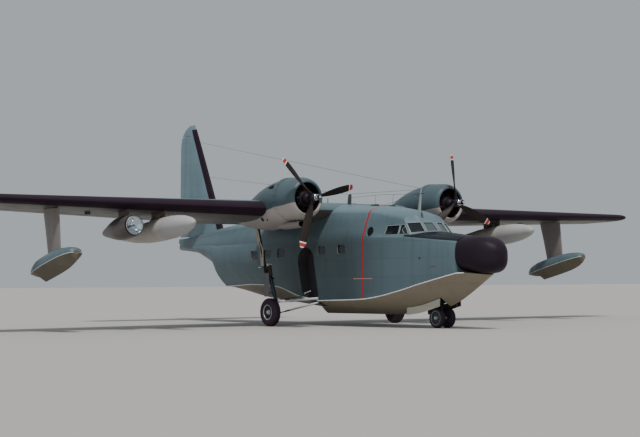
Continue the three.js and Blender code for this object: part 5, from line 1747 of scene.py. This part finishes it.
# Painted shade: the rim is black for the shadow inside it
rim = lamp_part("lamp_rim", [(286, -60), (318, -46), (324, -15), (316, 12), (284, 18), (282, -6),
    (286, -60)], black_enamel_and_painted_shade)
bezel = lamp_part("lamp_bezel", [(278, 4), (292, 4), (296, 16), (288, 24), (276, 20), (278, 4)],
    steel)
bowl = lamp_part("bowl", [*((r, -180 + 168 * (r / 272) ** 2) for r in (1, 60, 120, 180, 230, 272)),
    (280, -8), (280, -187), (1, -187)], metal("reflector", (0.80, 0.82, 0.85), 0.06, 1.0, 0.15))
stalk = lamp_part("lamp_stalk", [(1, -182), (22, -178), (18, -70), (34, -50), (34, -16), (1, -8)],
    casting_grey)
lamp_pylon = strut_skin("lamp_pylon",
    [(3350, -2350, -3050, 45), (3560, -2350, -3050, 45), (3830, -2350, -3050, 47)], LAMP.y,
    bpy.data.materials["pylon_brown"])
dressed(joined("searchlight_parts", pod, rim, bezel, bowl, stalk, lamp_pylon), "airframe",
    "searchlight_pod")
lens_glass, shader = plain_material("lens_glass", (0.80, 0.86, 0.90), 0.04)
shader.inputs["Transmission Weight"].default_value = 0.95
shader.inputs["IOR"].default_value = 1.3
LENS_RISE = [(279, 0), (262, 40), (230, 84), (180, 130), (120, 162), (60, 182), (1, 189)]
lens = lamp_part("lens", [*LENS_RISE, *((r, max(0, x - 8)) for r, x in reversed(LENS_RISE[1:])),
    (272, 0), (279, 0)], lens_glass)
dressed(lens, "airframe", "searchlight_glass")
print("searchlight")

# %% [markdown]
# Each main leg stands outside the hull. A shock strut runs up to the engine's housing, a sliding
# tube carries the wheel, and a cast knee joins the two. Two braces spread from a casting in the
# hull's slot. The leg's door hangs on its outer side, and a brake hose runs down with it.

# %% Main gear
STRUT = Sizes(foot=(-3300, 2650, 1750), head=(-3415, 2930, 3490), thin=0.6)
SLIDER = Sizes(foot=(-2960, 2400, 535), head=(-3205, 2604, 1868))
KNEE = Sizes(pin=(-3120, 2640, 2075), back=(-3345, 2622, 1890), eye=(-3075, 2600, 1690))
AXLE = Sizes(x=-3000, z=475, inner=2360, outer=2820, radius=40)
BRACES = [((-2360, 1090, 930), (-2980, 2425, 815), 46),
    ((-2360, 1090, 800), (-2980, 2425, 430), 33)]
STRIP_ROWS = [(3300, -3440, 2965), (2855, -3405, 2866), (2584, -3360, 2799), (2039, -3365, 2767)]
beige_enamel = metal("beige_enamel", (0.50, 0.45, 0.35), 0.5, 0.1, 0.35)
brown_casting = metal("brown_casting", (0.055, 0.038, 0.034), 0.5, 0.4, 0.6)
pale_rod = metal("pale_rod", (0.50, 0.53, 0.55), 0.45, 0.1, 0.3)
slider_blue = metal("slider_blue", (0.05, 0.068, 0.085), 0.4, 0.2, 0.3)
door_lilac = paint("leg_door_lilac", (0.13, 0.125, 0.15), "side", (0.5, 0.9), rough=0.4,
    streaks=0.1)


def between(start, end, share):
    return tuple(lerp(a, b, share) for a, b in zip(start, end))


def turned_bar(name, start, end, rows, coat, sides=24):
    """A round bar with rows of share of its length and radius"""
    bar = tube(name, [between(start, end, share) for share, _ in rows],
        [radius for _, radius in rows], sides)
    return painted(bar, coat)


def pin_across(name, x, z, y0, y1, radius, coat, sides=20):
    """A short pin along y with bevelled ends"""
    low, high = sorted((y0, y1))
    pin = lathe(name, [(1, low), (radius - 8, low), (radius, low + 8), (radius, high - 8),
        (radius - 8, high), (1, high)], "y", (x, 0, z), sides)
    return painted(pin, coat)


print("measures and metals of the main leg")

# %% Strut, slider and knee
strut_rows = [(0, 60), (0.01, 90), (0.07, 90), (0.075, 99), (0.10, 99), (0.105, 88), (0.33, 88),
    (0.335, 96), (0.36, 96), (0.365, 86), (0.62, 86), (0.625, 93), (0.65, 93), (0.655, 84), (1, 84)]
strut = turned_bar("strut", STRUT.foot, STRUT.head,
    [(share, r * STRUT.thin) for share, r in strut_rows], black_enamel_and_painted_shade)
slider = turned_bar("slider", SLIDER.foot, SLIDER.head,
    [(0, 40), (0.01, 66), (0.30, 70), (0.305, 60), (0.40, 60), (0.405, 78), (0.44, 80), (0.445, 74),
    (0.90, 70), (0.905, 76), (0.97, 76), (0.98, 50), (1, 40)], slider_blue)
knee = [turned_bar("knee_arm", KNEE.pin, KNEE.back,
    [(0, 40), (0.05, 72), (0.5, 88), (0.95, 80), (1, 50)], brown_casting),
    turned_bar("knee_arm", KNEE.pin, KNEE.eye,
    [(0, 40), (0.06, 74), (0.5, 62), (0.94, 58), (1, 40)], brown_casting),
    turned_bar("knee_arm", KNEE.back, SLIDER.head, [(0, 30), (0.1, 62), (0.9, 66), (1, 40)],
    brown_casting), pin_across("knee_pin", KNEE.pin[0], KNEE.pin[2], 2555, 2735, 44, pale_rod),
    pin_across("knee_eye", KNEE.eye[0], KNEE.eye[2], 2560, 2680, 34, black_enamel_and_painted_shade),
    pin_across("lock_eye", -2975, 1610, 2545, 2640, 27, black_enamel_and_painted_shade),
    turned_bar("lock_rod", (-3080, 2595, 1680), (-2975, 2592, 1610), [(0, 18), (1, 18)],
    brown_casting, 10), turned_bar("knee_bolt", (-3560, 2800, 2010), (-3420, 2760, 1990),
    [(0, 16), (0.1, 30), (0.6, 30), (0.7, 18), (1, 18)], chrome)]
print("strut, slider and", len(knee), "pieces of the knee")

# %% Leg door and braces
strip = loft("leg_strip", [[(x + dx, y + dy, z)
    for dx, dy in ((-75, -25), (75, -25), (75, 8), (60, 15), (-60, 15), (-75, 8))]
    for z, x, y in STRIP_ROWS])
painted(strip, beige_enamel)
plate = across_block("leg_door", rounded_outline(-3190, 1400, 270, 800, 30), (2696, 2718))
ribs = [block("door_rib", (-3315, -3065), (2680, 2697), (z - 14, z + 14))
    for z in (1060, 1250, 1440, 1630, 1760)]
leg_door = painted(joined("leg_door", plate, *ribs), door_lilac)
door_links = [turned_bar("door_link", between(SLIDER.foot, SLIDER.head, share), (-3240, 2690, z),
    [(0, 15), (0.08, 22), (0.12, 13), (0.9, 13), (0.94, 20), (1, 15)], black_enamel_and_painted_shade, 12)
    for share, z in ((0.50, 1045), (0.82, 1660))]
braces = []
for k, (inner, outer, radius) in enumerate(BRACES):
    braces.append(turned_bar("brace", inner, between(inner, outer, 0.72),
        [(0, radius * 0.6), (0.03, radius), (0.97, radius), (1, radius * 0.7)], pale_rod))
    braces.append(turned_bar("brace_end", between(inner, outer, 0.70), outer,
        [(0, radius * 0.5), (0.05, radius * 0.86), (0.35, radius * 0.86), (0.4, radius * 0.6),
        (0.85, radius * 0.55), (0.9, radius * 0.9), (1, radius * 0.6)], chrome if k == 0
        else brown_casting))
stay = turned_bar("stay", (-2700, 1330, 1030), (-2960, 2430, 880), [(0, 12), (1, 12)],
    brown_casting, 10)
well_rod = turned_bar("well_rod", (-3230, 1120, 1085), (-2898, 1100, 1178),
    [(0, 20), (0.04, 34), (0.18, 34), (0.2, 22), (1, 22)], pale_rod, 16)
print(len(braces) // 2, "braces,", len(ribs), "door ribs")

# %% Axle and brake
foot = carve(block("brace_foot", (-2420, -2302), (1000, 1125), (745, 945)), "DIFFERENCE",
    block("brace_gap", (-2430, -2345), (990, 1140), (835, 895)))
painted(foot, casting_grey)
axle = painted(lathe("axle", [(1, AXLE.inner), (32, AXLE.inner), (AXLE.radius, AXLE.inner + 8),
    (AXLE.radius, 2798), (56, 2799), (56, 2812), (30, AXLE.outer), (1, AXLE.outer)], "y",
    (AXLE.x, 0, AXLE.z), 24), pale_rod)
hub_block = painted(lathe("axle_block",
    [(42, 2368), (92, 2368), (104, 2384), (104, 2480), (88, 2506), (42, 2508), (42, 2368)], "y",
    (AXLE.x, 0, AXLE.z), 32), gear_enamel)
yoke = turned_bar("yoke", (-2990, 2420, 500), between(SLIDER.foot, SLIDER.head, 0.12),
    [(0, 70), (0.6, 66), (1, 56)], gear_enamel)
brake = lathe("brake", [(60, 2500), (150, 2500), (196, 2508), (205, 2516), (205, 2532), (60, 2532),
    (60, 2500)], "y", (AXLE.x, 0, AXLE.z), 48)
painted(brake, black_enamel_and_painted_shade)
brake_bolt = lathe("brake_bolt", [(1, 2490), (10, 2490), (12, 2500), (12, 2506), (1, 2506)], "y",
    (AXLE.x, 0, AXLE.z + 165), 6)
brake_bolts = ring_of(brake_bolt, steel, 8, "y", (AXLE.x, 0, AXLE.z))
hose_spots = [between(SLIDER.foot, SLIDER.head, share) for share in (0.95, 0.75, 0.55, 0.38, 0.25)]
hose_path = [(x + 72, y + 12, z) for x, y, z in hose_spots] + [(-2930, 2425, 720),
    (-2950, 2470, 640), (-2960, 2500, 600)]
hose = painted(tube("brake_hose", curved(hose_path, 4), 11, 8), hose_black)
main_leg = joined("leg", strut, slider, *knee, strip, leg_door, *door_links, *braces, stay,
    well_rod, foot, axle, hub_block, yoke, brake, brake_bolts, hose)
both_sides(main_leg, "main_leg", "airframe", "main_gear")
print("main legs")

# %% [markdown]
# A tyre is turned from its section, with rounded shoulders and grooves in the tread. The wheel
# inside it is a dished casting with a bright flange, holes round the hub and a ring of bolts. The
# same functions make the main and the nose wheels from their own measures.

# %% Wheels
wheel_flange = metal("wheel_flange", (0.52, 0.51, 0.55), 0.35, 0.4, 0.3)
wheel_dark = metal("wheel_dark", (0.05, 0.06, 0.06), 0.5, 0.3, 0.5)
nose_flange = metal("nose_flange", (0.20, 0.215, 0.25), 0.4, 0.3, 0.3)
WHEELS = {"main": Sizes(x=-3000, y=2690, radius=475, width=290, bore=250, holes=8, hole=26, at=150,
    flange=wheel_flange), "nose": Sizes(x=2740, y=215, radius=320, width=170, bore=225, holes=8,
    hole=20, at=118, flange=nose_flange)}
TYRE_SHAPE = [(0.0, 0.78), (0.10, 0.86), (0.32, 0.97), (0.52, 1.0), (0.70, 0.96), (0.84, 0.84),
    (0.93, 0.68), (0.98, 0.50), (1.0, 0.40)]
GROOVES = (0.28, 0.0, -0.28)


def tyre(w):
    """From the bore over the sidewall: share of the height above the bore, and of the half width"""
    half, tall = w.width / 2, w.radius - w.bore
    wall = [(w.bore + tall * up, half * out) for up, out in TYRE_SHAPE]
    tread = [(w.radius - deep, half * (place + step)) for place in GROOVES for step, deep in
        ((0.045, 0), (0.03, 7), (-0.03, 7), (-0.045, 0))]
    section = wall + tread + [(r, -out) for r, out in reversed(wall)]
    return lathe("tyre", [*section, section[0]], "y", (w.x, w.y, w.radius), 96)


def wheel(w):
    """A dished wheel with holes. Its flange covers the tyre's edge"""
    half, bore = w.width / 2, w.bore
    side = [(47, 0.68), (bore * 0.24, 0.70), (bore * 0.30, 0.62), (bore * 0.36, 0.36),
        (bore * 0.72, 0.30), (bore * 0.84, 0.44), (bore * 0.90, 0.74), (bore * 0.93, 0.84),
        (bore * 1.02, 0.88), (bore * 1.04, 0.85), (bore * 0.998, 0.78)]
    section = [(r, half * out) for r, out in side] + [(r, -half * out) for r, out in reversed(side)]
    made = lathe("wheel", [*section, section[0]], "y", (w.x, w.y, w.radius), 64)
    drill = tube("drill", [(w.x, w.y - half, w.radius + w.at), (w.x, w.y + half, w.radius + w.at)],
        w.hole, 12)
    carve(made, "DIFFERENCE", ring_of(drill, wheel_dark, w.holes, "y", (w.x, w.y, w.radius),
        math.pi / w.holes))
    painted(made, w.flange, wheel_dark, choose=lambda c,
        n: int(c[1] < w.y - half * 0.2 or bore * 0.33 < math.hypot(c[0] - w.x,
        c[2] - w.radius) < bore * 0.88))
    screw = lathe("wheel_bolt", [(1, half * 0.2), (7, half * 0.2), (8, half * 0.3 + 12),
        (1, half * 0.3 + 14)], "y", (w.x, w.y, w.radius + w.at), 6)
    return joined("wheel", made, ring_of(screw, steel, w.holes, "y", (w.x, w.y, w.radius)))


for kind, body in (("main", "main_wheel_*"), ("nose", "nose_wheels")):
    both_sides(painted(tyre(WHEELS[kind]), tyre_rubber), f"{kind}_tyre_skin", body, f"{kind}_tyre")
    both_sides(wheel(WHEELS[kind]), f"{kind}_wheel_casting", body, f"{kind}_rim")
print("wheels")

# %% [markdown]
# The nose leg hangs from the roof of the bay. Its lower part turns to steer, and scissor links
# behind the piston carry the turn to the axle. Two doors hang open at the bay's edges, held by
# links from the leg.

# %% Nose gear
NOSE = Sizes(x=2700, top=1499, collar=800, axle_x=2740, axle_z=320)
DOOR_ROWS = [(1520, 630, 400), (2200, 718, 480), (3130, 935, 690)]


def upright_bar(name, rows, coat, sides=32):
    """A turned upright at the nose leg: rows of height and radius"""
    return painted(lathe(name, [(1, rows[0][0])] + [(r, z) for z, r in rows] + [(1, rows[-1][0])],
        "z", (NOSE.x, 0, 0), sides), coat)


print("nose leg at x =", NOSE.x)

# %% Nose leg and links
# Painted shade: the leg and drag strut take the near-black casting paint for the shade in the bay
leg = upright_bar("nose_leg", [(800, 62), (806, 70), (880, 70), (886, 78), (930, 78), (936, 66),
    (1180, 66), (1186, 74), (1230, 74), (1236, 66), (NOSE.top, 66)], casting_grey)
drag = turned_bar("drag_strut", (2730, 0, 900), (3225, 0, 1495),
    [(0, 24), (0.03, 38), (0.45, 38), (0.46, 28), (0.9, 28), (0.92, 40), (1, 30)], casting_grey)
ROD_ROWS = [(0, 12), (0.04, 20), (0.1, 12), (0.9, 12), (0.95, 20), (1, 12)]
links = [turned_bar("door_rod", (x, side * 40, 905), (end_x, side * end_y, end_z), ROD_ROWS,
    black_enamel_and_painted_shade, 12) for side, _ in SIDES
    for x, end_x, end_y, end_z in ((2745, 3080, 418, 742), (2670, 2150, 416, 640))]
nose_hose = painted(tube("nose_hose",
    curved([(2640, 62, 1460), (2612, 72, 1200), (2620, 70, 950), (2628, 60, 830)], 4), 9, 8),
    hose_black)
dressed(joined("nose_leg_parts", leg, drag, *links, nose_hose), "airframe", "nose_leg")

print(len(links), "links to the doors")

# %% Fork
# Painted shade: the chromed piston is painted dark, as the shade in the nose bay
piston = upright_bar("piston", [(372, 44), (376, 50), (650, 50)], wheel_dark)
collar = upright_bar("collar", [(640, 60), (648, 84), (700, 84), (706, 76), (740, 76), (746, 84),
    (786, 84), (794, 70)], casting_grey)
hub_head = upright_bar("axle_head", [(258, 40), (266, 62), (372, 62), (384, 52)], gear_enamel)
nose_axle = painted(lathe("nose_axle",
    [(1, -318), (30, -318), (46, -310), (46, -304), (40, -303), (40, -75), (58, -74), (58, 74),
    (40, 75), (40, 303), (46, 304), (46, 310), (30, 318), (1, 318)], "y",
    (NOSE.axle_x, 0, NOSE.axle_z), 32), pale_rod)
scissors = [turned_bar("scissor", (x, side * y, z), (end_x, side * end_y, end_z),
    [(0, 20), (0.5, 16), (1, 20)], brown_casting, 12) for side in (1, -1)
    for x, y, z, end_x, end_y, end_z in ((2625, 30, 690, 2505, 12, 520),
    (2505, 12, 520, 2645, 34, 350))]
dressed(joined("nose_fork_parts", piston, collar, hub_head, nose_axle, *scissors), "nose_fork",
    "nose_fork")

print("fork with", len(scissors), "scissor links")

# %% Nose doors
door_rows = smooth_rows(DOOR_ROWS, 200)
door_skin = loft("nose_door", [[(x, 415, high), (x, 440, high), (x, 455, low), (x, 430, low)]
    for x, high, low in door_rows])
stiffeners = [loft("rib", [[(x + dx, 417, high - 20), (x + dx, 405, high - 24),
    (x + dx, 416, low + 24), (x + dx, 431, low + 20)] for dx in (-12, 12)])
    for x, high, low in door_rows[1:-1:2]]
# Painted light: the nose doors are the belly's sand made about twice as pale, as they catch more
# light
nose_door_painted_light = paint("nose_door_sand", (0.43, 0.42, 0.35), sheet=(1.3, 0.7), streaks=0.1)
nose_door = painted(joined("nose_door", door_skin, *stiffeners), nose_door_painted_light, bay_painted_shade,
    choose=lambda c, n: int(n.y < -0.5))
both_sides(nose_door, "nose_door_skin", "airframe", "nose_door")
print("nose doors with", len(stiffeners), "ribs each")

# %% [markdown]
# Two pilots' seats stand in the cockpit, with a pedestal and an instrument panel ahead of them. A
# cushion is foam under cloth, so its faces swell out between the seams. The panel has rows of
# dials, placed by the tree.

# %% Cockpit
seat_frame_paint = metal("seat_frame", (0.12, 0.14, 0.12), 0.5, 0.2)
cushion_cloth = metal("cushion_cloth", (0.20, 0.19, 0.14), 0.85, 0.0, 0.5, (3, 3, 3))
dial_white = metal("dial_face", (0.20, 0.22, 0.22), 0.3, 0.0, 0.2)
CUSHION_CELLS, ROUNDING, CUBE_DIAGONAL, ON_FACE = 24, 0.22, 0.577, 0.999
SEAT_Y = 480


def cushion(name, xs, ys, zs, bulge):
    """Thickest in the middle. All faces swell"""
    low, high = np.array((xs[0], ys[0], zs[0]), float), np.array((xs[1], ys[1], zs[1]), float)
    middle, half = (low + high) / 2, (high - low) / 2 - bulge
    made = bmesh.new()
    bmesh.ops.create_cube(made, size=2)
    bmesh.ops.subdivide_edges(made, edges=made.edges[:], cuts=CUSHION_CELLS - 1, use_grid_fill=True)
    for corner in made.verts:
        unit = np.array(corner.co)
        round_share = np.array([unit[k] * math.sqrt(max(0,
            1 - unit[k - 1] ** 2 / 2 - unit[k - 2] ** 2 / 2 + unit[k - 1] ** 2 * unit[k - 2] ** 2
            / 3)) for k in range(3)])
        place = lerp(unit, round_share, ROUNDING) / lerp(1, CUBE_DIAGONAL,
            ROUNDING * float(np.abs(unit).min()))
        crown = np.array([np.prod([math.cos(unit[j] * math.pi / 2) for j in range(3) if j != k])
            for k in range(3)])
        place = np.clip(place, -1,
            1) * half + np.sign(unit) * (np.abs(unit) > ON_FACE) * crown * bulge
        corner.co = Vector(metres(middle + place))
    mesh = bpy.data.meshes.new(name)
    made.to_mesh(mesh)
    made.free()
    pad = bpy.data.objects.new(name, mesh)
    scene.collection.objects.link(pad)
    return painted(pad, cushion_cloth)


print("cushion cells along an edge:", CUSHION_CELLS)

# %% Seats
for side, label in SIDES:
    y = side * SEAT_Y
    pan = [block("pan", (905, 1345), (y - 232, y + 232), (2252, 2290)),
        block("shell", (865, 900), (y - 232, y + 232), (2290, 3010)),
        block("post", (1060, 1200), (y - 90, y + 90), (1965, 2253)),
        block("arm", (900, 1240), (y - 240, y - 222), (2500, 2530)),
        block("arm", (900, 1240), (y + 222, y + 240), (2500, 2530))]
    rails = [block("rail", (985, 1275), (y + dy - 14, y + dy + 14), (1962, 1990))
        for dy in (-150, 150)]
    seat = painted(joined("seat", *pan, *rails), seat_frame_paint)
    seat.name = f"seat_frame_{label}"
    dressed(seat, "airframe", f"seat_{label}")
    for name, spans, bulge in (("base", ((912, 1345), (y - 222, y + 222), (2284, 2378)), 22),
            ("back", ((892, 978), (y - 215, y + 215), (2388, 3000)), 20)):
        pad = dressed(cushion(f"seat_cushion_{name}_{label}", *spans, bulge), "airframe")

print("two seats with four cushions")

# %% Panel and controls
board = block("panel", (2000, 2075), (-840, 840), (2505, 2955))
hood = loft("panel_hood", [[(1960, y, 2935), (2080, y, 2935), (2080, y, 2958), (1985, y, 2958)]
    for y in (-845, 845)])
pedestal = loft("pedestal", [[(1985, -w, z), (2295, -w, z), (2295, w, z), (1985, w, z)]
    for z, w in ((1958, 280), (2300, 270), (2508, 150))])
cockpit_paint = metal("cockpit_black", (0.02, 0.021, 0.022), 0.6, 0.1, 0.3)
parts = [painted(piece, cockpit_paint) for piece in (board, hood, pedestal)]
for y, z, count in ((-700, 2860, 13), (-700, 2740, 13), (-470, 2620, 9)):
    ring = lathe("dial", [(1, -16), (40, -16), (44, -10), (44, 4), (1, 4)], "x", (1998, y, z), 16)
    face = lathe("dial_face", [(1, -18), (34, -18), (34, -8), (1, -8)], "x", (1998, y, z), 16)
    parts += [repeated(piece, coat, count, (1998, y, z), (0, 116, 0))
        for piece, coat in ((ring, steel), (face, dial_white))]
for side in (1, -1):
    y = side * SEAT_Y
    parts.append(painted(tube("column", [(1700, y, 1962), (1690, y, 2300), (1600, y, 2620)],
        [26, 24, 20], 12), cockpit_paint))
    wheel_path = [(1590 - 18 * math.sin(a), y + 150 * math.cos(a), 2640 + 95 * math.sin(a))
        for a in np.radians(np.arange(-40, 221, 20))]
    parts.append(painted(tube("yoke_grip", wheel_path, 13, 10), hose_black))
    parts.append(painted(tube("yoke_bar",
        [(1600, y - 118, 2580), (1596, y, 2618), (1600, y + 118, 2580)], 12, 10), hose_black))
for k, y in enumerate((-90, -45, 0, 45, 90)):
    parts.append(painted(tube("lever", [(2060, y, 2480), (2010, y, 2580 + 12 * k)], 7, 8), steel))
    parts.append(painted(lathe("knob", [(1, -16), (13, -10), (16, 0), (13, 10), (1, 16)], "y",
        (2008, y, 2590 + 12 * k), 12), hose_black))
dressed(joined("panel_parts", *parts), "airframe", "instrument_panel")
print("panel, pedestal and two columns")

# %% [markdown]
# The plain hull skin was only a tool, so it goes.

# %% Remove the tool skin
delete(outer_hull)
